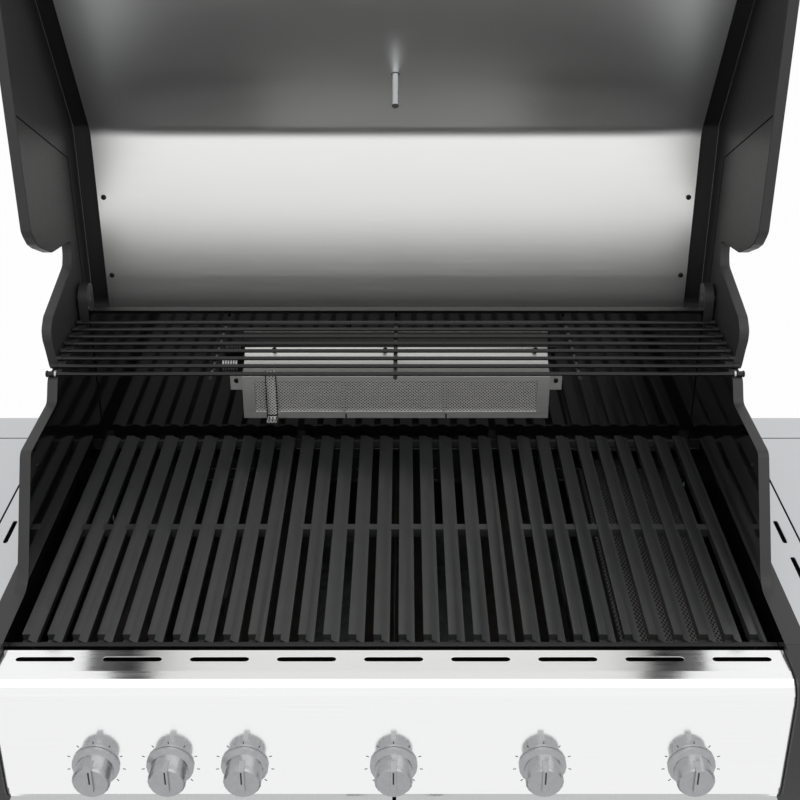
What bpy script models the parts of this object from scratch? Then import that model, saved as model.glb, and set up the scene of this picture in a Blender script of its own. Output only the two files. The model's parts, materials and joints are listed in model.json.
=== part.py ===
"""Free-standing gas grill with its lid open.

Sizes are in metres. They are measured from one datum, the middle of the grates' front edge on the
plane of their tops: +X to the right, +Y to the back, +Z up. The empty called gas_grill then lifts
the whole grill onto the ground and centres it from front to back.
"""

import math

import bmesh
import bpy
from mathutils import Matrix, Vector

# Gaps
FIT = 0.0003
OVERRUN = 0.01
WELD = 0.00001
WIRE_STEPS = 2

# Cooking grates
COOKING_HEIGHT = 0.900
GRATE_COUNT = 3
GRATE_BARS = 10
BAR_PITCH = 0.0260
BAR_WIDTH = 0.0168
BAR_HEIGHT = 0.0140
BAR_RIDGE_WIDTH = 0.0084
NOTCH_DROP = 0.0070
BAR_SHARES = (
    (0.08, -1.00),
    (0.92, -1.00),
    (1.00, -0.25),
    (0.77, -0.20),
    (0.50, 0.00),
    (0.00, 0.00),
)
RIDGE_SETBACK = 0.0090
GRATE_DEPTH = 0.444
TIE_DEPTH = 0.0080
TIE_DROP = 0.0042
MIDDLE_TIE_DEPTH = 0.0115
MIDDLE_TIE_DROP = 0.0030
FRONT_TIE_DROP = 0.0095

# Firebox
FIREBOX_SIDE_GAP = 0.0050
FIREBOX_HALF = GRATE_COUNT * GRATE_BARS * BAR_PITCH / 2 + FIREBOX_SIDE_GAP
CASTING_WALL = 0.0120
CASTING_FRONT = -0.0240
CASTING_BACK = 0.4740
CASTING_BOTTOM = -0.1600
LOW_RIM = 0.0125
LOW_RIM_BACK = 0.0770
SHOULDER_FRONT = 0.1500
SHOULDER_BACK = 0.2690
SHOULDER_RIM = 0.1370
HIGH_RIM = 0.1620
HIGH_RIM_FRONT = 0.2850
RIM_ROUNDING = 0.0120
RIM_FOOT_ROUNDING = 0.0300
FLANGE_HALF = 0.4183
FLANGE_THICKNESS = 0.0120
WALL = 0.0040
FRONT_WALL_FACE = -0.0040
FRONT_WALL_TOP = -0.0020
FRONT_RAIL_DEPTH = 0.0025
FRONT_RAIL_HEIGHT = 0.0080
BACK_WALL_FACE = 0.4600
BACK_WALL_DEPTH = 0.0120
BACK_WALL_TOP = 0.1740
BACK_WALL_LIP = 0.0200
WALL_BOTTOM = -0.1550
LEDGE_THICKNESS = 0.0040
LEDGE_BEARING = 0.0100
TENT_LEDGE_DROP = 0.0600
TENT_LEDGE_REACH = 0.0040
FUNNEL_DEPTH = 0.0700
FUNNEL_SHEET = 0.0015
FUNNEL_COLLAR = 0.0080
OUTLET_HALF_WIDTH = 0.1000
OUTLET_DEPTH = 0.0800

# Warming rack
RACK_WIRES = 8
RACK_PITCH = 0.0217
RACK_FRONT = 0.2900
RACK_WIRE = 0.0025
RACK_END_INSET = 0.0130
RACK_CROSS_SPACING = 0.2170
RACK_CROSS_DROP = 0.0035
RACK_END_OVERHANG = 0.0035

# Rear infrared burner
REAR_BURNER_HALF = 0.1970
REAR_BURNER_FACE = 0.4100
REAR_BURNER_BOTTOM = 0.0440
REAR_BURNER_BROW = 0.1040
REAR_BURNER_TOP = 0.1250
REAR_BURNER_SHEET = 0.0020
REAR_BURNER_FLANGE = 0.0200
REAR_BURNER_TOP_SHARES = ((0.40, 0.08), (0.72, 0.36))
TILE_HALF = 0.1850
TILE_BOTTOM = 0.0500
TILE_TOP = 0.1010
TILE_LAP = 0.0040
TILE_DEPTH = 0.0120
TAB_WIDTH = 0.0160
TAB_HEIGHT = 0.0220
TAB_SETBACK = 0.0060
TAB_HOLE = 0.0025
IGNITER_X = -0.1665
IGNITER_WIDTH = 0.0130
IGNITER_SHEET = 0.0012
IGNITER_RISE = 0.0080

# Burners, heat tents and gas parts
BURNER_PITCH = 0.1500
MAIN_BURNERS = 4
BURNER_RADIUS = 0.0125
BURNER_DROP = 0.0950
BURNER_BACK = 0.4400
BURNER_OVERHANG = 0.0100
TENT_HALF_WIDTH = 0.0450
TENT_TOP = -0.0280
TENT_SHEET = 0.0015
SEAR_HALF_WIDTH = 0.0560
SEAR_TOP = -0.0420
SEAR_SKIRT = 0.0500
SEAR_FRONT = 0.0160
SEAR_BACK = 0.4280
SEAR_SHEET = 0.0020
MANIFOLD_RADIUS = 0.0100
MANIFOLD_PLACE = -0.0450
MANIFOLD_HALF = 0.3600
INLET_RADIUS = 0.0130
INLET_LENGTH = 0.0150
VALVE_RADIUS = 0.0110
STEM_RADIUS = 0.0040
STEM_LENGTH = 0.0150
STEM_HOLE_GAP = 0.0020
REAR_VALVE_X = -0.2250
GAS_TUBE_RADIUS = 0.0030
GAS_TUBE_LOW = -0.2450
GAS_TUBE_BACK_GAP = 0.0025
GAS_TUBE_ENTRY_X = -0.1700
GAS_TUBE_ENTRY_Z = 0.0750
GAS_TUBE_TURN = 0.0200

# Control panel and knobs
PANEL_BACK = -0.0225
PANEL_TOP = 0.0040
PANEL_ROUNDING = 0.0240
PANEL_FRONT = -0.0800
PANEL_BOTTOM = -0.1475
PANEL_RETURN = -0.0360
PANEL_SHEET = 0.0015
VENT_COUNT = 9
VENT_PITCH = 0.0874
VENT_LENGTH = 0.0592
VENT_WIDTH = 0.0070
VENT_PLACE = -0.0370
END_CAP_SHOULDER_Y = -0.0560
END_CAP_SHOULDER_Z = 0.0095
END_CAP_BROW_Y = -0.0790
END_CAP_BROW_Z = 0.0060
END_CAP_FRONT = -0.0860
END_CAP_FRONT_Z = -0.0140
KNOB_RADIUS = 0.0240
KNOB_DEPTH = 0.0300
KNOB_SKIRT = 0.0060
KNOB_GRIP_RADIUS = 0.0190
KNOB_RIDGE = 0.0060
KNOB_SEGMENTS = 20

# Side shelves
SHELF_OUTER = 0.8000
SHELF_FRONT = -0.0700
SHELF_BACK = 0.4950
SHELF_LIP = 0.0450
SHELF_SHEET = 0.0015
SHELF_SEAM_X = 0.4690
SHELF_SEAM_Y = 0.4370
SEAM_WIDTH = 0.0023
SEAM_DEPTH = 0.0008
SLOT_X = 0.4510
SLOT_COUNT = 6
SLOT_PITCH = 0.0772
SLOT_LENGTH = 0.0490
SLOT_WIDTH = 0.0053
SLOT_FIRST = -0.0256

# Lid, in its closed position unless it says otherwise
HINGE_Y = 0.4750
HINGE_Z = 0.1860
OPEN_ANGLE = math.radians(90)
LID_SIDE_WALL = 0.0120
LID_RUNNING_GAP = 0.0030
LID_FRONT = -0.0400
LID_FRONT_TOP = 0.0740
LID_BEND_Y = 0.2680
LID_ROOF = 0.2560
LID_BACK = 0.5200
LID_BACK_BOTTOM = 0.1900
LID_LIP_BOTTOM = 0.0220
LID_RIM = 0.0190
LID_SKIN = 0.0012
LID_SIDE_PROUD = 0.0020
LID_BEND_ROUNDING = 0.0180
LINER_SHEET = 0.0010
LINER_GAP = 0.0150
LINER_HALF = 0.3850
LINER_BACK_INSET = 0.0050
LINER_BEND_ROUNDING = 0.0450
NECK_REACH = 0.1470
NECK_SHARES = (
    (-1.00, -1.000),
    (-0.94, -0.964),
    (-0.86, -0.904),
    (-0.79, -0.808),
    (-0.65, -0.557),
    (-0.54, -0.042),
    (-0.43, -0.054),
    (-0.34, -0.096),
    (-0.23, -0.557),
    (-0.18, -0.754),
    (-0.10, -0.844),
    (-0.01, -0.844),
    (0.10, -0.808),
    (0.30, -0.754),
    (0.32, -0.660),
)
PIN_RADIUS = 0.0050
PIN_HEAD_RADIUS = 0.0090
PIN_HEAD_DEPTH = 0.0035
EAR_RADIUS = 0.0190
EAR_NECK = 0.0120
EAR_STEPS = 8

# Lid handle and thermometer
HANDLE_HALF = 0.3300
HANDLE_RADIUS = 0.0125
HANDLE_REACH = 0.0500
HANDLE_HEIGHT = 0.0480
POST_HALF_WIDTH = 0.0100
POST_HALF_HEIGHT = 0.0140
POST_INSET = 0.0500
GAUGE_DOWN_SLOPE = 0.1000
GAUGE_RADIUS = 0.0380
GAUGE_DEPTH = 0.0140
GAUGE_BEZEL = 0.0040
PROBE_RADIUS = 0.0040
PROBE_LENGTH = 0.0680
PROBE_HOLE_GAP = 0.0010

# Cabinet
FLOOR_HEIGHT = 0.1000
FLOOR_THICKNESS = 0.0150
FLOOR_FRONT = -0.0450
FLOOR_SHEET = 0.0020
CABINET_FRONT = -0.0100
CABINET_SHEET = 0.0012
CABINET_BACK_WALL = 0.0120
CABINET_BACK_TOP = -0.2700
DOOR_THICKNESS = 0.0160
DOOR_BACK = -0.0270
DOOR_MIDDLE_GAP = 0.0020
DOOR_TOP_GAP = 0.0045
DOOR_BOTTOM_GAP = 0.0030
DOOR_SHEET = 0.0015
DOOR_PIN_RADIUS = 0.0040
DOOR_PIN_LENGTH = 0.0110
DOOR_HANDLE_RADIUS = 0.0060
DOOR_HANDLE_REACH = 0.0400
DOOR_HANDLE_LENGTH = 0.3000
DOOR_HANDLE_INSET = 0.0450
DOOR_HANDLE_DROP = 0.0900

# Grease tray
TRAY_HALF_WIDTH = 0.1500
TRAY_FRONT = 0.1100
TRAY_BACK = 0.4000
TRAY_HEIGHT = 0.0260
TRAY_WALL = 0.0020
TRAY_GAP = 0.0060
TRAY_PULL = 0.0150
RUNNER_SHEET = 0.0020
RUNNER_FOOT = 0.0080
RUNNER_TOP_LAP = 0.0240

# Casters
CASTER_X = 0.3600
CASTER_FRONT = 0.0300
CASTER_BACK = 0.4100
WHEEL_RADIUS = 0.0375
WHEEL_WIDTH = 0.0220
WHEEL_SEGMENTS = 24
WHEEL_HUB = 0.0140
WHEEL_ROUNDING = 0.0040
AXLE_RADIUS = 0.0040
CASTER_TRAIL = 0.0240
FORK_PLATE_RADIUS = 0.0240
FORK_PLATE = 0.0030
FORK_CHEEK = 0.0030
FORK_CHEEK_HALF = 0.0120
FORK_GAP = 0.0010
CASTER_STEM_RADIUS = 0.0055
CASTER_STEM_LENGTH = 0.0070

# Places that follow from the sizes
GROUND = -COOKING_HEIGHT
LID_HALF = FIREBOX_HALF + CASTING_WALL + LID_RUNNING_GAP
FLOOR_BOTTOM = GROUND + FLOOR_HEIGHT
FLOOR_TOP = FLOOR_BOTTOM + FLOOR_THICKNESS
LEDGE_TOP = -BAR_HEIGHT - FIT
BURNER_Z = -BURNER_DROP
BURNER_FRONT = FRONT_WALL_FACE - WALL - BURNER_OVERHANG
VALVE_BACK = BURNER_FRONT - FIT
GAS_TUBE_FRONT = VALVE_BACK + FIT + GAS_TUBE_RADIUS
SHELF_INNER = FLANGE_HALF + FIT
SIDE_PANEL_INNER = FIREBOX_HALF + CASTING_WALL + FIT
DOOR_AXIS_X = FLANGE_HALF - DOOR_THICKNESS / 2
DOOR_AXIS_Y = DOOR_BACK - DOOR_THICKNESS / 2
DOOR_TOP = PANEL_BOTTOM - DOOR_TOP_GAP
DOOR_BOTTOM = FLOOR_TOP + DOOR_BOTTOM_GAP
FUNNEL_TOP = WALL_BOTTOM - FIT
FUNNEL_BOTTOM = FUNNEL_TOP - FUNNEL_DEPTH
OUTLET_MIDDLE = GRATE_DEPTH / 2
TRAY_TOP = FUNNEL_BOTTOM - TRAY_GAP
KNOB_BACK = PANEL_FRONT - FIT
RACK_Z = HIGH_RIM + FIT + RACK_WIRE
LID_REARMOST = HINGE_Y + LID_ROOF + LID_SIDE_PROUD - HINGE_Z
KNOB_FRONT = KNOB_BACK - KNOB_DEPTH
MIDDLE_Y = (LID_REARMOST + KNOB_FRONT) / 2

PLANES = {
    "X": Matrix(((0, 0, 1, 0), (1, 0, 0, 0), (0, 1, 0, 0), (0, 0, 0, 1))),
    "Y": Matrix(((1, 0, 0, 0), (0, 0, -1, 0), (0, 1, 0, 0), (0, 0, 0, 1))),
    "Z": Matrix.Identity(4),
}
STEPS = {"X": Vector((1, 0, 0)), "Y": Vector((0, 1, 0)), "Z": Vector((0, 0, 1))}
SIDES = (("left", -1), ("right", 1))


def clear_scene():
    for obj in list(bpy.data.objects):
        bpy.data.objects.remove(obj)


def make_collection(name, helper=False):
    collection = bpy.data.collections.new(name)
    bpy.context.scene.collection.children.link(collection)
    collection.hide_render = helper
    return collection


def make_finish(name, colour, roughness, metallic):
    material = bpy.data.materials.new(name)
    material.use_nodes = True
    shader = material.node_tree.nodes["Principled BSDF"]
    shader.inputs["Base Color"].default_value = (*colour, 1)
    shader.inputs["Roughness"].default_value = roughness
    shader.inputs["Metallic"].default_value = metallic
    return material


def make_axis(name, place):
    """An empty on a joint's axis, which carries the pieces that move with it."""
    empty = bpy.data.objects.new(name, None)
    parts.objects.link(empty)
    if name != "gas_grill":
        empty.parent = grill
    empty.location = place
    return empty


def rounded(outline, radius, steps=4):
    """The closed outline with each corner turned into an arc, where its sides are long enough."""
    result = []
    count = len(outline)
    for i, corner in enumerate(outline):
        corner = Vector(corner)
        back = Vector(outline[i - 1]) - corner
        ahead = Vector(outline[(i + 1) % count]) - corner
        angle = back.angle(ahead)
        reach = min(radius / math.tan(angle / 2), back.length / 2, ahead.length / 2)
        start = corner + back.normalized() * reach
        end = corner + ahead.normalized() * reach
        for k in range(steps + 1):
            t = k / steps
            result.append(tuple((1 - t) ** 2 * start + 2 * t * (1 - t) * corner + t * t * end))
    return result


def bent(line, radius, steps=4):
    """The open line with its inner corners turned into arcs."""
    whole = rounded(line, radius, steps)
    return [tuple(line[0])] + whole[steps + 1 : -(steps + 1)] + [tuple(line[-1])]


def as_piece(name, source):
    """The evaluated shape of a helper object as a welded mesh object at the datum."""
    bpy.context.scene.collection.objects.link(source)
    graph = bpy.context.evaluated_depsgraph_get()
    mesh = bpy.data.meshes.new_from_object(source.evaluated_get(graph))
    mesh.transform(source.matrix_world)
    bm = bmesh.new()
    bm.from_mesh(mesh)
    bmesh.ops.remove_doubles(bm, verts=bm.verts, dist=WELD)
    bmesh.ops.recalc_face_normals(bm, faces=bm.faces)
    bm.to_mesh(mesh)
    bm.free()
    bpy.data.objects.remove(source)
    mesh.name = name
    obj = bpy.data.objects.new(name, mesh)
    parts.objects.link(obj)
    return obj


def flat_plate(name, outline, axis, low, high):
    """A filled outline with a thickness from low to high along the axis."""
    curve = bpy.data.curves.new(name, "CURVE")
    curve.dimensions = "2D"
    curve.fill_mode = "BOTH"
    curve.extrude = (high - low) / 2
    spline = curve.splines.new("POLY")
    spline.points.add(len(outline) - 1)
    for point, (a, b) in zip(spline.points, outline):
        point.co = (a, b, 0, 1)
    spline.use_cyclic_u = True
    source = bpy.data.objects.new(name, curve)
    source.matrix_world = Matrix.Translation(STEPS[axis] * (low + high) / 2) @ PLANES[axis]
    return as_piece(name, source)


def wire(name, route, radius):
    """A round bar along the route, with closed ends."""
    curve = bpy.data.curves.new(name, "CURVE")
    curve.dimensions = "3D"
    curve.bevel_depth = radius
    curve.bevel_resolution = WIRE_STEPS
    curve.use_fill_caps = True
    spline = curve.splines.new("POLY")
    spline.points.add(len(route) - 1)
    for point, place in zip(spline.points, route):
        point.co = (*place, 1)
    source = bpy.data.objects.new(name, curve)
    return as_piece(name, source)


def mesh_piece(name, bm):
    mesh = bpy.data.meshes.new(name)
    bm.to_mesh(mesh)
    bm.free()
    obj = bpy.data.objects.new(name, mesh)
    parts.objects.link(obj)
    return obj


def add_box(bm, low, high):
    size = Vector(high) - Vector(low)
    middle = (Vector(high) + Vector(low)) / 2
    placed = Matrix.Translation(middle) @ Matrix.Diagonal((*size, 1))
    return bmesh.ops.create_cube(bm, size=1, matrix=placed)["verts"]


def box(name, low, high):
    bm = bmesh.new()
    add_box(bm, low, high)
    return mesh_piece(name, bm)


def thicken(obj, sheet):
    """Turn a surface into sheet metal that lies inside it."""
    solid = obj.modifiers.new("sheet", "SOLIDIFY")
    solid.thickness = sheet
    solid.offset = -1
    solid.use_even_offset = True
    return obj


def pan(name, low, high, open_side, sheet):
    """A folded sheet box without the side that open_side points to."""
    bm = bmesh.new()
    add_box(bm, low, high)
    bm.normal_update()
    gone = [face for face in bm.faces if face.normal.dot(open_side) > 0.9]
    bmesh.ops.delete(bm, geom=gone, context="FACES_ONLY")
    return thicken(mesh_piece(name, bm), sheet)


def cylinder(name, centre, axis, radius, length, segments=16):
    """A cylinder about its centre, along a named axis or any direction."""
    direction = STEPS[axis] if isinstance(axis, str) else axis
    tilt = STEPS["Z"].rotation_difference(direction).to_matrix().to_4x4()
    bm = bmesh.new()
    bmesh.ops.create_cone(
        bm,
        cap_ends=True,
        segments=segments,
        radius1=radius,
        radius2=radius,
        depth=length,
        matrix=Matrix.Translation(centre) @ tilt,
    )
    return mesh_piece(name, bm)


def combine(obj, others, operation):
    """One live Boolean of obj with all the helper objects."""
    group = bpy.data.collections.new(f"{obj.name}_{operation.lower()}")
    cutters.children.link(group)
    for other in others:
        parts.objects.unlink(other)
        group.objects.link(other)
        other.parent = grill
        other.hide_render = True
        other.display_type = "WIRE"
    modifier = obj.modifiers.new(operation.lower(), "BOOLEAN")
    modifier.operation = operation
    modifier.operand_type = "COLLECTION"
    modifier.collection = group
    modifier.solver = "EXACT"
    return obj


def cut(obj, *others):
    return combine(obj, others, "DIFFERENCE")


def join(obj, *others):
    return combine(obj, others, "UNION")


def folded_sheet(name, line, thickness, low, high):
    """A line that runs up, over and down at the back, drawn out along X and thickened inward."""
    bm = bmesh.new()
    points = [bm.verts.new((low, y, z)) for y, z in line]
    edges = [bm.edges.new(pair) for pair in zip(points, points[1:])]
    drawn = bmesh.ops.extrude_edge_only(bm, edges=edges)["geom"]
    moved = [piece for piece in drawn if isinstance(piece, bmesh.types.BMVert)]
    bmesh.ops.translate(bm, verts=moved, vec=STEPS["X"] * (high - low))
    return thicken(mesh_piece(name, bm), thickness)


def turned(name, profile, segments):
    """A profile of radius and height, top to bottom, turned about Z."""
    bm = bmesh.new()
    points = [bm.verts.new((radius, 0, height)) for radius, height in profile]
    for pair in zip(points, points[1:]):
        bm.edges.new(pair)
    mesh = bpy.data.meshes.new(name)
    bm.to_mesh(mesh)
    bm.free()
    source = bpy.data.objects.new(name, mesh)
    screw = source.modifiers.new("turn", "SCREW")
    screw.steps = segments
    screw.render_steps = segments
    screw.use_merge_vertices = True
    screw.merge_threshold = WELD
    return as_piece(name, source)


def give(obj, material, carrier=None, smooth=False):
    """Finish, shading and parent of a part whose mesh stands at the datum."""
    obj.data.materials.clear()
    obj.data.materials.append(material)
    if smooth:
        obj.data.shade_smooth()
        obj.data.set_sharp_from_angle(angle=math.radians(30))
    carrier = carrier or grill
    obj.parent = carrier
    if carrier is not grill:
        obj.location = -carrier.location
    return obj


def opened(y, z):
    """Where a point of the closed lid lies once the lid is open."""
    turn = Matrix.Rotation(-OPEN_ANGLE, 2)
    return tuple(turn @ Vector((y - HINGE_Y, z - HINGE_Z)) + Vector((HINGE_Y, HINGE_Z)))


def mirrored(low, high, side):
    """The span from low to high on the side that side names, in rising order."""
    return (low, high) if side > 0 else (-high, -low)


def build_castings():
    rim = [
        (CASTING_FRONT, LOW_RIM),
        (LOW_RIM_BACK, LOW_RIM),
        (SHOULDER_FRONT, SHOULDER_RIM),
        (SHOULDER_BACK, SHOULDER_RIM),
        (HIGH_RIM_FRONT, HIGH_RIM),
        (HINGE_Y - EAR_RADIUS, HIGH_RIM),
    ]
    ear = [
        (HINGE_Y - EAR_RADIUS * math.cos(angle), HINGE_Z + EAR_RADIUS * math.sin(angle))
        for angle in (math.pi * k / EAR_STEPS for k in range(EAR_STEPS + 1))
    ]
    foot = [
        (HINGE_Y + EAR_RADIUS, HINGE_Z - EAR_NECK),
        (CASTING_BACK, HINGE_Z - EAR_RADIUS - EAR_NECK),
        (CASTING_BACK, CASTING_BOTTOM),
        (CASTING_FRONT, CASTING_BOTTOM),
    ]
    low_bend = bent(rim[:3], RIM_FOOT_ROUNDING, 6)
    outline = low_bend[:-1] + bent(rim[1:], RIM_ROUNDING, 3)[1:] + ear + foot
    for word, side in SIDES:
        low, high = mirrored(FIREBOX_HALF, FIREBOX_HALF + CASTING_WALL, side)
        plate = flat_plate(f"{word}_casting", outline, "X", low, high)
        inner, outer = mirrored(FIREBOX_HALF + CASTING_WALL / 2, FLANGE_HALF, side)
        flange = box(
            f"{word}_flange",
            (inner, CASTING_FRONT, LOW_RIM - FLANGE_THICKNESS),
            (outer, HINGE_Y - EAR_RADIUS, LOW_RIM),
        )
        place = ((low + high) / 2, HINGE_Y, HINGE_Z)
        hole = cylinder(f"{word}_ear_hole", place, "X", PIN_RADIUS + FIT, CASTING_WALL + OVERRUN)
        give(cut(join(plate, flange), hole), casting_paint)


def ledges(face, inward):
    """The inner outline of a firebox wall from its top to its bottom, with its two ledges."""
    edge = LEDGE_BEARING if inward > 0 else GRATE_DEPTH - LEDGE_BEARING
    tent_edge = edge + inward * TENT_LEDGE_REACH
    tent_top = -TENT_LEDGE_DROP
    return [
        (face, LEDGE_TOP),
        (edge, LEDGE_TOP),
        (edge, LEDGE_TOP - LEDGE_THICKNESS),
        (face, LEDGE_TOP - LEDGE_THICKNESS),
        (face, tent_top),
        (tent_edge, tent_top),
        (tent_edge, tent_top - LEDGE_THICKNESS),
        (face, tent_top - LEDGE_THICKNESS),
        (face, WALL_BOTTOM),
    ]


def front_wall_outline():
    face = FRONT_WALL_FACE
    rail = face + FRONT_RAIL_DEPTH
    rail_bottom = FRONT_WALL_TOP - FRONT_RAIL_HEIGHT
    top = [(face - WALL, FRONT_WALL_TOP), (rail, FRONT_WALL_TOP), (rail, rail_bottom), (face, rail_bottom)]
    return top + ledges(face, 1) + [(face - WALL, WALL_BOTTOM)]


def back_wall_outline():
    face = BACK_WALL_FACE
    back = face + BACK_WALL_DEPTH
    lip = BACK_WALL_TOP - BACK_WALL_LIP
    folded = [
        (face + WALL, WALL_BOTTOM),
        (face + WALL, BACK_WALL_TOP - WALL),
        (back - WALL, BACK_WALL_TOP - WALL),
        (back - WALL, lip),
        (back, lip),
        (back, BACK_WALL_TOP),
        (face, BACK_WALL_TOP),
    ]
    return folded + ledges(face, -1)


def main_burner_places():
    return [(k - MAIN_BURNERS / 2) * BURNER_PITCH for k in range(MAIN_BURNERS)]


def sear_burner_place():
    return main_burner_places()[-1] + BURNER_PITCH


def build_firebox_walls():
    half = FIREBOX_HALF - FIT
    front = flat_plate("firebox_front", front_wall_outline(), "X", -half, half)
    holes = [
        cylinder("burner_hole", (x, FRONT_WALL_FACE, BURNER_Z), "Y", BURNER_RADIUS + FIT, 2 * OVERRUN)
        for x in main_burner_places() + [sear_burner_place()]
    ]
    give(cut(front, *holes), enamel)
    back = flat_plate("firebox_back", back_wall_outline(), "X", -half, half)
    place = (GAS_TUBE_ENTRY_X, BACK_WALL_FACE, GAS_TUBE_ENTRY_Z)
    entry = cylinder("gas_tube_entry", place, "Y", GAS_TUBE_RADIUS + FIT, 2 * OVERRUN)
    give(cut(back, entry), enamel)


def build_firebox_bottom():
    bm = bmesh.new()
    half = FIREBOX_HALF - FIT
    add_box(
        bm,
        (-half, FRONT_WALL_FACE - WALL, FUNNEL_TOP - FUNNEL_COLLAR),
        (half, BACK_WALL_FACE + WALL, FUNNEL_TOP),
    )
    top = [face for face in bm.faces if face.normal.z > 0.9]
    floor = [face for face in bm.faces if face.normal.z < -0.9]
    rim = list(floor[0].edges)
    bmesh.ops.delete(bm, geom=top + floor, context="FACES_ONLY")
    drawn = bmesh.ops.extrude_edge_only(bm, edges=rim)["geom"]
    for vert in [piece for piece in drawn if isinstance(piece, bmesh.types.BMVert)]:
        vert.co.x = math.copysign(OUTLET_HALF_WIDTH, vert.co.x)
        vert.co.y = OUTLET_MIDDLE + math.copysign(OUTLET_DEPTH / 2, vert.co.y - OUTLET_MIDDLE)
        vert.co.z = FUNNEL_BOTTOM
    bmesh.ops.recalc_face_normals(bm, faces=bm.faces)
    funnel = thicken(mesh_piece("firebox_bottom", bm), FUNNEL_SHEET)
    foot_top = TRAY_TOP - TRAY_HEIGHT - FIT
    web = TRAY_HALF_WIDTH + FIT
    runner = [
        (TRAY_HALF_WIDTH - RUNNER_FOOT, foot_top - RUNNER_SHEET),
        (web + RUNNER_SHEET, foot_top - RUNNER_SHEET),
        (web + RUNNER_SHEET, FUNNEL_BOTTOM + RUNNER_TOP_LAP),
        (web, FUNNEL_BOTTOM + RUNNER_TOP_LAP),
        (web, foot_top),
        (TRAY_HALF_WIDTH - RUNNER_FOOT, foot_top),
    ]
    runners = [
        flat_plate(f"{word}_runner", [(side * x, z) for x, z in runner], "Y", TRAY_FRONT, TRAY_BACK)
        for word, side in SIDES
    ]
    give(join(funnel, *runners), galvanised)


def grate_bar_outline(x):
    """Section of one bar: a ridge on its left, a slope and a lower right part."""
    left = x - BAR_WIDTH / 2
    return [(left + across * BAR_WIDTH, up * BAR_HEIGHT) for across, up in BAR_SHARES]


def build_grates():
    for index, word in enumerate(("left", "center", "right")):
        first = (index * GRATE_BARS - (GRATE_COUNT * GRATE_BARS - 1) / 2) * BAR_PITCH
        name = f"grate_{word}"
        lift = make_axis(f"{name}_lift", (first + (GRATE_BARS - 1) * BAR_PITCH / 2, GRATE_DEPTH / 2, 0))
        bm = bmesh.new()
        notches = bmesh.new()
        for k in range(GRATE_BARS):
            x = first + k * BAR_PITCH
            bar = flat_plate(f"{name}_bar", grate_bar_outline(x), "Y", 0, GRATE_DEPTH)
            bm.from_mesh(bar.data)
            bpy.data.objects.remove(bar)
            add_box(
                notches,
                (x - BAR_WIDTH / 2 - NOTCH_DROP / 2, -OVERRUN, -NOTCH_DROP),
                (x - BAR_WIDTH / 2 + BAR_RIDGE_WIDTH, RIDGE_SETBACK, OVERRUN),
            )
        grate = mesh_piece(name, bm)
        low = first - BAR_WIDTH / 2 + BAR_RIDGE_WIDTH / 2
        high = first + (GRATE_BARS - 1) * BAR_PITCH + BAR_WIDTH / 2 - BAR_RIDGE_WIDTH / 2
        middle = GRATE_DEPTH / 2
        ties = (
            ("front", RIDGE_SETBACK / 2, RIDGE_SETBACK / 2 + TIE_DEPTH / 2, -FRONT_TIE_DROP),
            ("middle", middle - MIDDLE_TIE_DEPTH / 2, middle + MIDDLE_TIE_DEPTH / 2, -MIDDLE_TIE_DROP),
            ("back", GRATE_DEPTH - TIE_DEPTH, GRATE_DEPTH - TIE_DROP, -TIE_DROP),
        )
        tie_boxes = [
            box(f"{name}_{place}_tie", (low, near, -BAR_HEIGHT + FIT), (high, far, top))
            for place, near, far, top in ties
        ]
        join(grate, *tie_boxes)
        cut(grate, mesh_piece(f"{name}_notches", notches))
        give(grate, cast_iron, lift)


def build_warming_rack():
    lift = make_axis("warming_rack_lift", (0, RACK_FRONT, RACK_Z))
    half = FIREBOX_HALF + RACK_END_INSET
    back = RACK_FRONT + (RACK_WIRES - 1) * RACK_PITCH
    rack = wire("warming_rack", [(-half, RACK_FRONT, RACK_Z), (half, RACK_FRONT, RACK_Z)], RACK_WIRE)
    others = []
    for k in range(1, RACK_WIRES):
        y = RACK_FRONT + k * RACK_PITCH
        others.append(wire(f"rack_wire_{k}", [(-half, y, RACK_Z), (half, y, RACK_Z)], RACK_WIRE))
    cross_z = RACK_Z - RACK_CROSS_DROP
    for k in (-1, 0, 1):
        x = k * RACK_CROSS_SPACING
        ends = [(x, RACK_FRONT - RACK_END_OVERHANG, cross_z), (x, back + RACK_END_OVERHANG, cross_z)]
        others.append(wire(f"rack_cross_{k + 1}", ends, RACK_WIRE))
    give(join(rack, *others), dark_wire, lift, smooth=True)


def rear_burner_outline(inset):
    """The housing's section, set in by inset and then open towards the back wall."""
    back = BACK_WALL_FACE - FIT
    run = back - REAR_BURNER_FACE
    rise = REAR_BURNER_TOP - REAR_BURNER_BROW
    slopes = [
        (REAR_BURNER_FACE + along * run + inset / 2, REAR_BURNER_BROW + up * rise - inset)
        for along, up in REAR_BURNER_TOP_SHARES
    ]
    reach = back + (OVERRUN if inset else 0)
    return [
        (reach, REAR_BURNER_BOTTOM + inset),
        (REAR_BURNER_FACE + inset, REAR_BURNER_BOTTOM + inset),
        (REAR_BURNER_FACE + inset, REAR_BURNER_BROW - inset),
        *slopes,
        (reach, REAR_BURNER_TOP - inset),
    ]


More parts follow.
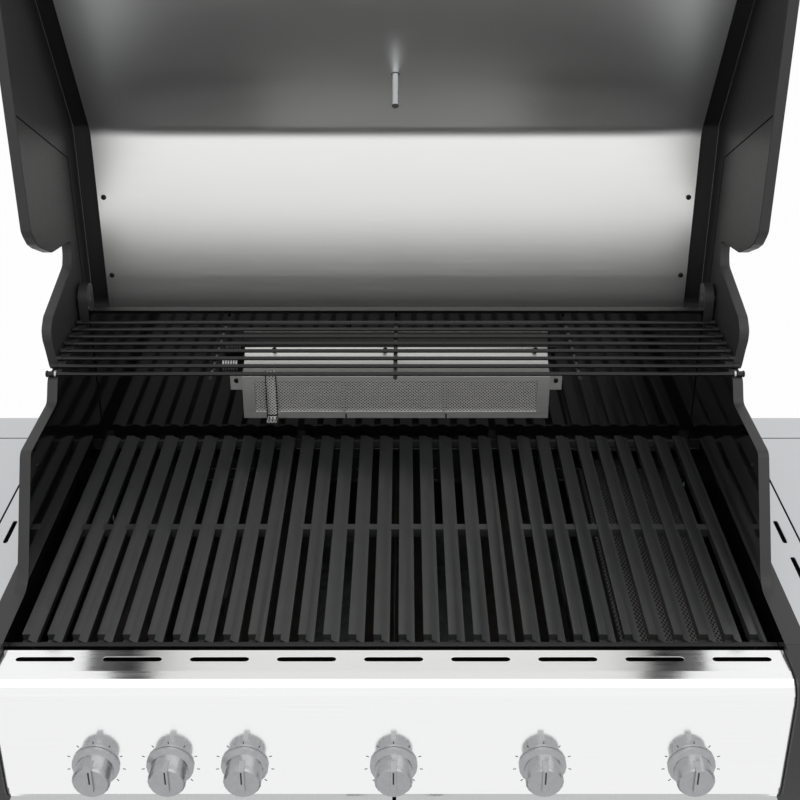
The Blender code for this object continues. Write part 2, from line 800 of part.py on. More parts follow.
def build_rear_burner():
    sheet = REAR_BURNER_SHEET
    half = REAR_BURNER_HALF
    housing = flat_plate("rear_burner_housing", rear_burner_outline(0), "X", -half, half)
    inner_half = half - sheet
    hollow = flat_plate("rear_burner_hollow", rear_burner_outline(sheet), "X", -inner_half, inner_half)
    tile_low = Vector((-TILE_HALF, REAR_BURNER_FACE + sheet + FIT, TILE_BOTTOM))
    tile_high = Vector((TILE_HALF, REAR_BURNER_FACE + sheet + FIT + TILE_DEPTH, TILE_TOP))
    window = box(
        "rear_burner_window",
        (tile_low.x + TILE_LAP, REAR_BURNER_FACE - OVERRUN, TILE_BOTTOM + TILE_LAP),
        (tile_high.x - TILE_LAP, REAR_BURNER_FACE + OVERRUN, TILE_TOP - TILE_LAP),
    )
    cut(housing, hollow, window)
    wall_side = BACK_WALL_FACE - FIT
    flange = box(
        "rear_burner_flange",
        (-half, wall_side - sheet, REAR_BURNER_TOP - 3 * sheet),
        (half, wall_side, REAR_BURNER_TOP + REAR_BURNER_FLANGE),
    )
    tab_z = REAR_BURNER_BROW - TAB_HEIGHT
    near = REAR_BURNER_FACE + TAB_SETBACK
    tabs = []
    holes = []
    for word, side in SIDES:
        low, high = mirrored(half - sheet / 2, half + TAB_WIDTH, side)
        tabs.append(box(f"{word}_tab", (low, near, tab_z), (high, near + sheet, REAR_BURNER_BROW)))
        place = (side * (half + TAB_WIDTH / 2), near, tab_z + TAB_HEIGHT / 2)
        holes.append(cylinder(f"{word}_tab_hole", place, "Y", TAB_HOLE, OVERRUN, 8))
    join(housing, flange, *tabs)
    give(cut(housing, *holes), stainless)
    give(box("rear_burner_tile", tile_low, tile_high), burner_mesh)
    front = REAR_BURNER_FACE - FIT
    strip = [
        (front, REAR_BURNER_BOTTOM),
        (front, REAR_BURNER_BROW + IGNITER_RISE),
        (front - IGNITER_SHEET, REAR_BURNER_BROW + IGNITER_RISE),
        (front - IGNITER_SHEET, REAR_BURNER_BOTTOM + IGNITER_SHEET),
        (front - IGNITER_WIDTH, REAR_BURNER_BOTTOM + IGNITER_SHEET),
        (front - IGNITER_WIDTH, REAR_BURNER_BOTTOM),
    ]
    igniter = flat_plate("rear_igniter", strip, "X", IGNITER_X, IGNITER_X + IGNITER_WIDTH)
    give(igniter, stainless)


def build_burners():
    for k, x in enumerate(main_burner_places()):
        middle = (x, (BURNER_FRONT + BURNER_BACK) / 2, BURNER_Z)
        tube = cylinder(f"burner_{k + 1}", middle, "Y", BURNER_RADIUS, BURNER_BACK - BURNER_FRONT, 12)
        give(tube, stainless, smooth=True)
        outline = [
            (x - TENT_HALF_WIDTH, -TENT_LEDGE_DROP + FIT),
            (x - TENT_HALF_WIDTH + 2 * TENT_SHEET, -TENT_LEDGE_DROP + FIT),
            (x, TENT_TOP - 2 * TENT_SHEET),
            (x + TENT_HALF_WIDTH - 2 * TENT_SHEET, -TENT_LEDGE_DROP + FIT),
            (x + TENT_HALF_WIDTH, -TENT_LEDGE_DROP + FIT),
            (x, TENT_TOP),
        ]
        tent = flat_plate(f"heat_tent_{k + 1}", outline, "Y", FRONT_WALL_FACE + FIT, BACK_WALL_FACE - FIT)
        give(tent, stainless)
    build_sear_burner(sear_burner_place())


def build_sear_burner(x):
    """A flat infrared burner: a deep box with lips on the heat tents' ledges and a feed tube."""
    lip_top = -TENT_LEDGE_DROP + FIT + LEDGE_THICKNESS
    burner = pan(
        "sear_burner",
        (x - SEAR_HALF_WIDTH, SEAR_FRONT, -TENT_LEDGE_DROP - SEAR_SKIRT),
        (x + SEAR_HALF_WIDTH, SEAR_BACK, SEAR_TOP),
        -STEPS["Z"],
        SEAR_SHEET,
    )
    lip = box(
        "sear_lips",
        (x - SEAR_HALF_WIDTH / 2, FRONT_WALL_FACE + FIT, -TENT_LEDGE_DROP + FIT),
        (x + SEAR_HALF_WIDTH / 2, BACK_WALL_FACE - FIT, lip_top),
    )
    reach = SEAR_FRONT + OVERRUN - BURNER_FRONT
    feed = cylinder("sear_feed", (x, BURNER_FRONT + reach / 2, BURNER_Z), "Y", BURNER_RADIUS, reach, 12)
    give(join(burner, lip, feed), stainless)


def build_gas_parts():
    middle = (0, MANIFOLD_PLACE, BURNER_Z)
    manifold = cylinder("gas_manifold", middle, "X", MANIFOLD_RADIUS, 2 * MANIFOLD_HALF, 12)
    inlet = cylinder(
        "gas_inlet", (MANIFOLD_HALF, MANIFOLD_PLACE, BURNER_Z), "X", INLET_RADIUS, 2 * INLET_LENGTH, 6
    )
    others = [inlet]
    stem_front = KNOB_BACK + FIT
    valve_front = stem_front + STEM_LENGTH
    for k, x in enumerate(valve_places()):
        middle = (x, (valve_front + VALVE_BACK) / 2, BURNER_Z)
        others.append(cylinder(f"valve_{k}", middle, "Y", VALVE_RADIUS, VALVE_BACK - valve_front, 8))
        reach = valve_front + VALVE_RADIUS - stem_front
        tip = (x, stem_front + reach / 2, BURNER_Z)
        others.append(cylinder(f"stem_{k}", tip, "Y", STEM_RADIUS, reach, 8))
    give(join(manifold, *others), brass)
    rear_y = BACK_WALL_FACE + BACK_WALL_DEPTH + GAS_TUBE_BACK_GAP + GAS_TUBE_RADIUS
    entry = (GAS_TUBE_ENTRY_X, BACK_WALL_FACE + FIT, GAS_TUBE_ENTRY_Z)
    x = REAR_VALVE_X
    turn = GAS_TUBE_TURN
    route = [
        (x, GAS_TUBE_FRONT, BURNER_Z + VALVE_RADIUS / 2),
        (x, GAS_TUBE_FRONT, GAS_TUBE_LOW + 2 * turn),
        (x, GAS_TUBE_FRONT + turn, GAS_TUBE_LOW),
        (x, rear_y - turn / 2, GAS_TUBE_LOW),
        (x, rear_y, GAS_TUBE_LOW + turn / 2),
        (x, rear_y, CASTING_BOTTOM),
        (GAS_TUBE_ENTRY_X, rear_y, GAS_TUBE_ENTRY_Z - turn),
        (GAS_TUBE_ENTRY_X, rear_y, GAS_TUBE_ENTRY_Z),
        entry,
    ]
    give(wire("rear_gas_tube", route, GAS_TUBE_RADIUS), aluminium, smooth=True)


def valve_places():
    """The main burners' valves, the sear burner's and, between two of them, the rear burner's."""
    return sorted(main_burner_places() + [sear_burner_place(), REAR_VALVE_X])


def panel_line():
    return [
        (PANEL_RETURN, PANEL_BOTTOM),
        (PANEL_FRONT, PANEL_BOTTOM),
        (PANEL_FRONT, PANEL_TOP),
        (PANEL_BACK, PANEL_TOP),
    ]


def stadium(length, width, steps=4):
    """A slot's outline, long way along the first axis."""
    half = length / 2 - width / 2
    outline = []
    for end in (1, -1):
        for k in range(steps + 1):
            angle = math.pi * (k / steps - 1 / 2)
            outline.append((end * (half + width / 2 * math.cos(angle)), end * width / 2 * math.sin(angle)))
    return outline


def build_control_panel():
    half = FIREBOX_HALF - FIT
    line = bent(panel_line(), PANEL_ROUNDING)
    panel = folded_sheet("control_panel", line, PANEL_SHEET, -half, half)
    holes = []
    for k in range(VENT_COUNT):
        x = (k - (VENT_COUNT - 1) / 2) * VENT_PITCH
        outline = [(x + a, VENT_PLACE + b) for a, b in stadium(VENT_LENGTH, VENT_WIDTH)]
        holes.append(flat_plate(f"vent_{k}", outline, "Z", PANEL_TOP - OVERRUN, PANEL_TOP + OVERRUN))
    for x in valve_places():
        place = (x, PANEL_FRONT, BURNER_Z)
        holes.append(cylinder("stem_hole", place, "Y", STEM_RADIUS + STEM_HOLE_GAP, 2 * OVERRUN, 12))
    give(cut(panel, *holes), stainless, smooth=True)
    cap = [
        (CASTING_FRONT - FIT, LOW_RIM),
        (END_CAP_SHOULDER_Y, END_CAP_SHOULDER_Z),
        (END_CAP_BROW_Y, END_CAP_BROW_Z),
        (END_CAP_FRONT, END_CAP_FRONT_Z),
        (END_CAP_FRONT, PANEL_BOTTOM),
        (CASTING_FRONT - FIT, PANEL_BOTTOM),
    ]
    outline = bent(cap, CASTING_WALL, 2)
    for word, side in SIDES:
        low, high = mirrored(FIREBOX_HALF + FIT, FLANGE_HALF, side)
        piece = flat_plate(f"{word}_end_cap", outline, "X", low, high)
        cut(piece, door_pin_hole(f"{word}_cap_hole", side, PANEL_BOTTOM))
        give(piece, casting_paint)


def door_pin_hole(name, side, face):
    return cylinder(
        name, (side * DOOR_AXIS_X, DOOR_AXIS_Y, face), "Z", DOOR_PIN_RADIUS + FIT, 2 * DOOR_PIN_LENGTH, 12
    )


def build_knobs():
    for k, x in enumerate(valve_places()):
        axis = make_axis(f"knob_{k + 1}_axis", (x, KNOB_BACK, BURNER_Z))
        profile = [
            (0, KNOB_DEPTH - KNOB_RIDGE / 2),
            (KNOB_GRIP_RADIUS - KNOB_RIDGE / 3, KNOB_DEPTH - KNOB_RIDGE / 2),
            (KNOB_GRIP_RADIUS, KNOB_DEPTH - KNOB_RIDGE),
            (KNOB_GRIP_RADIUS, KNOB_SKIRT),
            (KNOB_RADIUS, KNOB_SKIRT / 2),
            (KNOB_RADIUS, 0),
            (0, 0),
        ]
        knob = turned(f"knob_{k + 1}", profile, KNOB_SEGMENTS)
        knob.data.transform(PLANES["Y"])
        knob.data.transform(Matrix.Translation(axis.location))
        ridge = box(
            f"knob_{k + 1}_ridge",
            (x - KNOB_RIDGE / 2, KNOB_FRONT, BURNER_Z - KNOB_GRIP_RADIUS / 2),
            (x + KNOB_RIDGE / 2, KNOB_BACK - KNOB_DEPTH / 2, BURNER_Z + KNOB_GRIP_RADIUS),
        )
        give(join(knob, ridge), knob_finish, axis, smooth=True)


def build_shelves():
    for word, side in SIDES:
        low, high = mirrored(SHELF_INNER, SHELF_OUTER, side)
        shelf = pan(
            f"{word}_shelf", (low, SHELF_FRONT, -SHELF_LIP), (high, SHELF_BACK, 0), -STEPS["Z"], SHELF_SHEET
        )
        cutouts = []
        for k in range(SLOT_COUNT):
            y = SLOT_FIRST + k * SLOT_PITCH
            outline = [(side * SLOT_X + b, y + a) for a, b in stadium(SLOT_LENGTH, SLOT_WIDTH, 3)]
            cutouts.append(flat_plate(f"{word}_slot_{k}", outline, "Z", -OVERRUN, OVERRUN))
        seam = [side * SHELF_SEAM_X - SEAM_WIDTH / 2, side * SHELF_SEAM_X + SEAM_WIDTH / 2]
        long_low = (seam[0], SHELF_FRONT - OVERRUN, -SEAM_DEPTH)
        long_high = (seam[1], SHELF_SEAM_Y, OVERRUN)
        cutouts.append(box(f"{word}_long_seam", long_low, long_high))
        cross_low, cross_high = mirrored(SHELF_INNER - OVERRUN, SHELF_OUTER + OVERRUN, side)
        cutouts.append(
            box(
                f"{word}_cross_seam",
                (cross_low, SHELF_SEAM_Y - SEAM_WIDTH / 2, -SEAM_DEPTH),
                (cross_high, SHELF_SEAM_Y + SEAM_WIDTH / 2, 2 * OVERRUN),
            )
        )
        give(cut(shelf, *cutouts), brushed)


def lid_line(inset=0):
    """The lid's section from its front lip over the roof to its back, closed, set in by inset."""
    slope = math.atan2(LID_ROOF - LID_FRONT_TOP, LID_BEND_Y - LID_FRONT)
    front_rise = inset * (1 - math.sin(slope)) / math.cos(slope)
    bend_shift = inset * math.tan(slope / 2)
    return [
        (LID_FRONT + inset, LID_LIP_BOTTOM),
        (LID_FRONT + inset, LID_FRONT_TOP - front_rise),
        (LID_BEND_Y + bend_shift, LID_ROOF - inset),
        (LID_BACK - inset, LID_ROOF - inset),
        (LID_BACK - inset, LID_BACK_BOTTOM),
    ]


def slope_point(share, inset):
    """A point on the lid's sloping front, a share of the way from its bend to its front lip."""
    line = lid_line(inset)
    top = Vector(line[2])
    bottom = Vector(line[1])
    return top.lerp(bottom, share)


def build_lid():
    hinge = make_axis("lid_hinge_axis", (0, HINGE_Y, HINGE_Z))
    neck = [
        (HINGE_Y + across * NECK_REACH, HINGE_Z + down * (HINGE_Z - LID_RIM)) for across, down in NECK_SHARES
    ]
    body = lid_line(-LID_SIDE_PROUD)
    outline = [(body[0][0], LID_RIM)] + neck
    outline += [body[3], body[2], body[1]]
    shaped = [opened(y, z) for y, z in rounded(outline, RIM_ROUNDING, 2)]
    for word, side in SIDES:
        low, high = mirrored(LID_HALF, LID_HALF + LID_SIDE_WALL, side)
        plate = flat_plate(f"lid_{word}_side", shaped, "X", low, high)
        place = ((low + high) / 2, HINGE_Y, HINGE_Z)
        hole = cylinder(f"lid_{word}_hole", place, "X", PIN_RADIUS + FIT, LID_SIDE_WALL + OVERRUN)
        give(cut(plate, hole), casting_paint, hinge)
        build_hinge_pin(word, side)
    line = [opened(y, z) for y, z in bent(lid_line(), LID_BEND_ROUNDING)]
    skin = folded_sheet("lid_skin", line, LID_SKIN, -LID_HALF + FIT, LID_HALF - FIT)
    give(cut(skin, probe_hole("skin_hole")), stainless, hinge, smooth=True)
    liner = build_liner()
    give(cut(liner, probe_hole("liner_hole")), bright, hinge, smooth=True)
    build_lid_handle(hinge)
    build_thermometer(hinge)


def build_liner():
    inner = lid_line(LINER_GAP)
    lip = lid_line(LID_SKIN + FIT)
    slope = (Vector(inner[1]) - Vector(inner[2])).normalized()
    reach = (lip[0][0] - inner[2][0]) / slope.x
    front_end = Vector(inner[2]) + slope * reach
    back_end = (LID_BACK - LINER_BACK_INSET, inner[2][1])
    closed = [tuple(front_end), inner[2], back_end]
    line = [opened(y, z) for y, z in bent(closed, LINER_BEND_ROUNDING, 8)]
    return folded_sheet("lid_liner", line, LINER_SHEET, -LINER_HALF, LINER_HALF)


def build_hinge_pin(word, side):
    """A shouldered pin held in the firebox's ear, with its head outside the lid."""
    inner = FIREBOX_HALF + FIT
    outer = LID_HALF + LID_SIDE_WALL + FIT
    shank_end = outer + PIN_HEAD_DEPTH / 2
    middle = side * (inner + shank_end) / 2
    pin = cylinder(f"{word}_hinge_pin", (middle, HINGE_Y, HINGE_Z), "X", PIN_RADIUS, shank_end - inner)
    place = (side * shank_end, HINGE_Y, HINGE_Z)
    head = cylinder(f"{word}_pin_head", place, "X", PIN_HEAD_RADIUS, PIN_HEAD_DEPTH)
    give(join(pin, head), steel, smooth=True)


def build_lid_handle(hinge):
    y, z = opened(LID_FRONT - HANDLE_REACH, HANDLE_HEIGHT)
    bar = cylinder("lid_handle", (0, y, z), "X", HANDLE_RADIUS, 2 * HANDLE_HALF, 16)
    face_z = opened(LID_FRONT - FIT, HANDLE_HEIGHT)[1]
    posts = []
    for word, side in SIDES:
        x = side * (HANDLE_HALF - POST_INSET)
        post = box(
            f"{word}_handle_post",
            (x - POST_HALF_WIDTH, y - POST_HALF_HEIGHT, face_z),
            (x + POST_HALF_WIDTH, y + POST_HALF_HEIGHT, z),
        )
        posts.append(post)
    give(join(bar, *posts), stainless, hinge, smooth=True)


def gauge_frame():
    """Where the thermometer's axis crosses the open lid's skin, and its direction out of the lid."""
    line = lid_line()
    length = (Vector(line[2]) - Vector(line[1])).length
    y, z = slope_point(GAUGE_DOWN_SLOPE / length, 0)
    along = (Vector(line[2]) - Vector(line[1])).normalized()
    out_tip = Vector((y - along.y, z + along.x))
    place = Vector((0, *opened(y, z)))
    tip = Vector((0, *opened(*out_tip)))
    return place, (tip - place).normalized()


def probe_hole(name):
    place, out = gauge_frame()
    return cylinder(name, place, out, PROBE_RADIUS + PROBE_HOLE_GAP, 6 * OVERRUN, 12)


def build_thermometer(hinge):
    place, out = gauge_frame()
    seat = FIT
    profile = [
        (0, seat + GAUGE_DEPTH - GAUGE_BEZEL / 2),
        (GAUGE_RADIUS - GAUGE_BEZEL, seat + GAUGE_DEPTH - GAUGE_BEZEL / 2),
        (GAUGE_RADIUS - GAUGE_BEZEL, seat + GAUGE_DEPTH),
        (GAUGE_RADIUS, seat + GAUGE_DEPTH - GAUGE_BEZEL / 2),
        (GAUGE_RADIUS, seat),
        (PROBE_RADIUS, seat),
        (PROBE_RADIUS, -PROBE_LENGTH),
        (0, -PROBE_LENGTH),
    ]
    gauge = turned("thermometer", profile, 24)
    gauge.data.transform(STEPS["Z"].rotation_difference(out).to_matrix().to_4x4())
    gauge.data.transform(Matrix.Translation(place))
    give(gauge, steel, hinge, smooth=True)


def build_cabinet():
    for word, side in SIDES:
        low, high = mirrored(SIDE_PANEL_INNER, FLANGE_HALF, side)
        panel = pan(
            f"{word}_cabinet_side",
            (low, CABINET_FRONT, FLOOR_TOP + FIT),
            (high, CASTING_BACK, LOW_RIM - FLANGE_THICKNESS - FIT),
            -side * STEPS["X"],
            CABINET_SHEET,
        )
        give(panel, dark_paint)
    half = FIREBOX_HALF + CASTING_WALL
    back = pan(
        "cabinet_back",
        (-half, CASTING_BACK - CABINET_BACK_WALL, FLOOR_TOP + FIT),
        (half, CASTING_BACK, CABINET_BACK_TOP),
        -STEPS["Y"],
        CABINET_SHEET,
    )
    give(back, dark_paint)
    floor = pan(
        "cabinet_floor",
        (-FLANGE_HALF, FLOOR_FRONT, FLOOR_BOTTOM),
        (FLANGE_HALF, CASTING_BACK, FLOOR_TOP),
        -STEPS["Z"],
        FLOOR_SHEET,
    )
    reach = 2 * FLOOR_THICKNESS
    holes = [
        cylinder("stem_socket", (x, y, FLOOR_TOP), "Z", CASTER_STEM_RADIUS + FIT, reach, 12)
        for x, y in caster_places()
    ]
    holes += [door_pin_hole(f"{word}_floor_hole", side, FLOOR_TOP) for word, side in SIDES]
    give(cut(floor, *holes), dark_paint)


def build_doors():
    for word, side in SIDES:
        hinge = make_axis(f"{word}_door_hinge", (side * DOOR_AXIS_X, DOOR_AXIS_Y, 0))
        low, high = mirrored(DOOR_MIDDLE_GAP, FLANGE_HALF, side)
        door = pan(
            f"{word}_door",
            (low, DOOR_BACK - DOOR_THICKNESS, DOOR_BOTTOM),
            (high, DOOR_BACK, DOOR_TOP),
            STEPS["Y"],
            DOOR_SHEET,
        )
        ends = (
            ("top", DOOR_TOP - OVERRUN, PANEL_BOTTOM + DOOR_PIN_LENGTH - FIT),
            ("bottom", FLOOR_TOP - DOOR_PIN_LENGTH + FIT, DOOR_BOTTOM + OVERRUN),
        )
        pins = []
        for end, start, stop in ends:
            place = (side * DOOR_AXIS_X, DOOR_AXIS_Y, (start + stop) / 2)
            pins.append(cylinder(f"{word}_{end}_pin", place, "Z", DOOR_PIN_RADIUS, stop - start, 12))
        give(join(door, *pins), stainless, hinge)
        x = side * (DOOR_MIDDLE_GAP + DOOR_HANDLE_INSET)
        face = DOOR_BACK - DOOR_THICKNESS - FIT
        out = face - DOOR_HANDLE_REACH
        top = DOOR_TOP - DOOR_HANDLE_DROP
        bottom = top - DOOR_HANDLE_LENGTH
        turn = 2 * DOOR_HANDLE_RADIUS
        route = [
            (x, face, top),
            (x, out + turn, top),
            (x, out, top - turn),
            (x, out, bottom + turn),
            (x, out + turn, bottom),
            (x, face, bottom),
        ]
        give(wire(f"{word}_door_handle", route, DOOR_HANDLE_RADIUS), stainless, hinge, smooth=True)


def build_grease_tray():
    low = (-TRAY_HALF_WIDTH, TRAY_FRONT, TRAY_TOP - TRAY_HEIGHT)
    high = (TRAY_HALF_WIDTH, TRAY_BACK, TRAY_TOP)
    tray = pan("grease_tray", low, high, STEPS["Z"], TRAY_WALL)
    tab = box(
        "tray_pull",
        (-TRAY_HALF_WIDTH / 3, TRAY_BACK - TRAY_WALL / 2, TRAY_TOP - TRAY_WALL),
        (TRAY_HALF_WIDTH / 3, TRAY_BACK + TRAY_PULL, TRAY_TOP),
    )
    give(join(tray, tab), galvanised, make_axis("grease_tray_slide", (0, TRAY_BACK, TRAY_TOP)))


def caster_places():
    return [(side * CASTER_X, y) for y in (CASTER_FRONT, CASTER_BACK) for _, side in SIDES]


def build_casters():
    plate_top = FLOOR_TOP - FLOOR_SHEET - FIT
    wheel_z = GROUND + WHEEL_RADIUS
    cheek = WHEEL_WIDTH / 2 + FORK_GAP
    for k, (x, y) in enumerate(caster_places()):
        swivel = make_axis(f"caster_{k + 1}_swivel", (x, y, FLOOR_BOTTOM))
        axle_y = y + CASTER_TRAIL
        middle = (x, y, plate_top - FORK_PLATE / 2)
        fork = cylinder(f"caster_fork_{k + 1}", middle, "Z", FORK_PLATE_RADIUS, FORK_PLATE, 16)
        stem = cylinder(
            f"caster_stem_{k + 1}",
            (x, y, plate_top + (CASTER_STEM_LENGTH - FORK_PLATE) / 2),
            "Z",
            CASTER_STEM_RADIUS,
            CASTER_STEM_LENGTH + FORK_PLATE,
            12,
        )
        others = [stem]
        outline = [
            (y - FORK_CHEEK_HALF, plate_top - FORK_PLATE / 2),
            (axle_y - FORK_CHEEK_HALF, wheel_z - FORK_CHEEK_HALF),
            (axle_y + FORK_CHEEK_HALF, wheel_z - FORK_CHEEK_HALF),
            (axle_y + FORK_CHEEK_HALF / 2, plate_top - FORK_PLATE / 2),
        ]
        for word, side in SIDES:
            low, high = mirrored(cheek, cheek + FORK_CHEEK, side)
            others.append(flat_plate(f"caster_{word}_cheek_{k + 1}", outline, "X", x + low, x + high))
        reach = 2 * cheek + FORK_CHEEK
        others.append(cylinder(f"axle_{k + 1}", (x, axle_y, wheel_z), "X", AXLE_RADIUS, reach, 12))
        give(join(fork, *others), steel, swivel)
        build_caster_wheel(k, x, axle_y, wheel_z)


def build_caster_wheel(k, x, y, z):
    half = WHEEL_WIDTH / 2
    bore = AXLE_RADIUS + FIT
    corner = WHEEL_RADIUS / math.cos(math.pi / WHEEL_SEGMENTS)
    profile = [
        (bore, half),
        (WHEEL_HUB, half),
        (WHEEL_HUB + WHEEL_ROUNDING, half - WHEEL_ROUNDING),
        (corner - 2 * WHEEL_ROUNDING, half - WHEEL_ROUNDING),
        (corner - WHEEL_ROUNDING, half),
        (corner, half - WHEEL_ROUNDING),
        (corner, -half + WHEEL_ROUNDING),
        (corner - WHEEL_ROUNDING, -half),
        (corner - 2 * WHEEL_ROUNDING, -half + WHEEL_ROUNDING),
        (WHEEL_HUB + WHEEL_ROUNDING, -half + WHEEL_ROUNDING),
        (WHEEL_HUB, -half),
        (bore, -half),
        (bore, half),
    ]
    wheel = turned(f"caster_wheel_{k + 1}", profile, WHEEL_SEGMENTS)
    wheel.data.transform(Matrix.Rotation(math.pi / WHEEL_SEGMENTS, 4, "Z"))
    wheel.data.transform(PLANES["X"])
    wheel.data.transform(Matrix.Translation((x, y, z)))
    give(wheel, tyre, make_axis(f"caster_{k + 1}_axle", (x, y, z)), smooth=True)


clear_scene()
parts = make_collection("gas_grill")
cutters = make_collection("cutters", helper=True)
grill = make_axis("gas_grill", (0, -MIDDLE_Y, COOKING_HEIGHT))

dark_paint = make_finish("dark_paint", (0.07, 0.07, 0.072), 0.5, 0)
casting_paint = make_finish("casting_paint", (0.09, 0.09, 0.092), 0.45, 0)
enamel = make_finish("enamel", (0.012, 0.012, 0.013), 0.2, 0)
cast_iron = make_finish("cast_iron", (0.035, 0.036, 0.037), 0.55, 0)
dark_wire = make_finish("dark_wire", (0.03, 0.03, 0.03), 0.35, 0)
stainless = make_finish("stainless", (0.6, 0.6, 0.6), 0.35, 1)
brushed = make_finish("brushed", (0.68, 0.68, 0.68), 0.45, 1)
bright = make_finish("bright", (0.75, 0.75, 0.75), 0.3, 1)
steel = make_finish("steel", (0.55, 0.55, 0.55), 0.3, 1)
galvanised = make_finish("galvanised", (0.5, 0.5, 0.5), 0.5, 1)
burner_mesh = make_finish("burner_mesh", (0.4, 0.4, 0.4), 0.6, 1)
brass = make_finish("brass", (0.7, 0.5, 0.2), 0.35, 1)
aluminium = make_finish("aluminium", (0.7, 0.7, 0.7), 0.4, 1)
knob_finish = make_finish("knob_finish", (0.5, 0.5, 0.5), 0.3, 1)
tyre = make_finish("tyre", (0.02, 0.02, 0.02), 0.8, 0)

build_castings()
build_firebox_walls()
build_firebox_bottom()
build_grates()
build_warming_rack()
build_rear_burner()
build_burners()
build_gas_parts()
build_control_panel()
build_knobs()
build_shelves()
build_lid()
build_cabinet()
build_doors()
build_grease_tray()
build_casters()
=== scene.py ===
"""Looks of the gas grill: finishes, softened edges, fasteners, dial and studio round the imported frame."""

import json
import math

import bmesh
import bpy
from mathutils import Matrix, Vector


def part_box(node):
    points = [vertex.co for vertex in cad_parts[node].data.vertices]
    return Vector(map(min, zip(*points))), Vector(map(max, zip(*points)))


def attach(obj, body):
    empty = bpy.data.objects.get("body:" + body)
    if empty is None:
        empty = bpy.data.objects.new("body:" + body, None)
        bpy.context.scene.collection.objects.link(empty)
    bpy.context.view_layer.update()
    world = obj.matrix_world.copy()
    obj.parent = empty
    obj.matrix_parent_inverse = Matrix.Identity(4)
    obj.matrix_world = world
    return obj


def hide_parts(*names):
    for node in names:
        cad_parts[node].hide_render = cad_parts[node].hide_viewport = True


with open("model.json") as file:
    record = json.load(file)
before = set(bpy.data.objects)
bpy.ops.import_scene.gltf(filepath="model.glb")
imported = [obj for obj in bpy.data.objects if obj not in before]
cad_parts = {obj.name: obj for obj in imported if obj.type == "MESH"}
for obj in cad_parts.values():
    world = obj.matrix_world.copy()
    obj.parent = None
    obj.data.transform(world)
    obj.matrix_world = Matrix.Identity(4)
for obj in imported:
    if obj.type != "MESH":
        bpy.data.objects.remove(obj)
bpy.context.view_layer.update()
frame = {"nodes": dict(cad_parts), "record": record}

MM = 0.001
X, Y, Z = Vector((1, 0, 0)), Vector((0, 1, 0)), Vector((0, 0, 1))
SIDES = (("left", -1), ("right", 1))

# The datum is the middle of the grates' front edge, on the plane of their tops.
GRATE_LOW, GRATE_HIGH = (Vector(corner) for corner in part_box("grate_center"))
DATUM = Vector((0, GRATE_LOW.y, GRATE_HIGH.z))


def at(x, y, z):
    """A place given in millimetres from the datum."""
    return DATUM + Vector((x, y, z)) * MM


# Camera: in front of the grill, above the grates, tilted down
CAMERA_SIDE = 11.0
CAMERA_BACK = 1085.9
CAMERA_HEIGHT = 822.0
CAMERA_TILT = math.radians(26.68)
FOCAL_LENGTH = 58.5
FRAME_SHIFT = -0.00575

# Softened edges, in millimetres
CAST_EDGE = 2.2
SHEET_EDGE = 0.8
BAR_EDGE = 1.0

# Places in millimetres from the datum, on the CAD shapes that carry the pieces
LINER_FACE = 529.0
LINER_SCREW_X = 377.0
LINER_SCREW_HEIGHTS = (196.0, 303.0)
LID_SIDE_FACE = 410.0
WALL_FACE = 395.0
RACK_HEIGHT = 164.8
RACK_RODS = [290.0 + 21.7 * k for k in range(8)]
SHELF_SEAM_X = 469.0
SHELF_SEAM_Y = 437.0
SHELF_EDGES = (418.6, 800.0)
SHELF_DEPTH = (-70.0, 495.0)
KNOB_HEIGHT = -95.0
PANEL_FACE = -80.05
DOOR_FACE = -43.0
DOOR_HANDLE_X = 47.0
HANDLE_FEET = (-242.0, -542.0)
AXLE_CHEEK = 4.0
SLOT_X = 451.0
SLOT_PLACES = [-25.6 + 77.2 * k for k in range(6)]
WALL_SCREWS = ((166.0, 112.0), (60.0, -30.0), (380.0, -30.0))
GROOVES = (((310.4, 465.0), (500.0, 363.4)), ((500.0, 363.4), (503.0, 190.0)))
GROOVE_WIDTH = 1.5
GROOVE_DEPTH = 0.8
TILE_SEAMS_X = (-67.0, 62.4)
BURNER_TOP_SCREWS_X = (-158.0, -14.0, 181.0)
BURNER_TAB_SCREWS_X = (-205.0, 205.0)
IGNITER_EDGES_X = (-166.9, -153.9)
FEED_START = -224.0
FEED_RINGS = 6
FEED_PITCH = 3.4
CABINET_SCREW_INSET = 0.03
CABINET_SCREW_DROP = 0.05

# Flame ports: how many in a row, their radius and the row's angle from the top
PORTS_IN_A_ROW = 28
PORT_RADIUS = 1.3
PORT_ANGLE = 0.9

# Thermometer dial: ticks over three quarters of a turn, in millimetres from the middle
DIAL_RADIUS = 32.0
DIAL_START = 225
DIAL_TICKS = 31
TICKS_PER_NUMBER = 5
TICK_TURN = 9
TICK_OUTER = 29.5
NUMBER_RADIUS = 17.5
NUMBER_SIZE = 5.2

# Printed ticks round each knob
KNOB_TICKS = 9
KNOB_TICK_START = -135
KNOB_TICK_TURN = 33.75


# Node helpers


def linear(code):
    """An sRGB hex colour as linear RGBA."""
    channels = [int(code[k : k + 2], 16) / 255 for k in (1, 3, 5)]
    return (*[c / 12.92 if c <= 0.04045 else ((c + 0.055) / 1.055) ** 2.4 for c in channels], 1)


def add(tree, kind, values=None, links=None, **settings):
    """A node with its settings, its input values and the sockets that feed it."""
    made = tree.nodes.new(kind)
    for name, value in settings.items():
        setattr(made, name, value)
    for name, value in (values or {}).items():
        made.inputs[name].default_value = value
    for name, source in (links or {}).items():
        tree.links.new(source, made.inputs[name])
    return made


def new_finish(name):
    material = bpy.data.materials.new(name)
    material.use_nodes = True
    material.node_tree.nodes.clear()
    return material, material.node_tree


def close_finish(tree, shader):
    add(tree, "ShaderNodeOutputMaterial", links={"Surface": shader.outputs[0]})


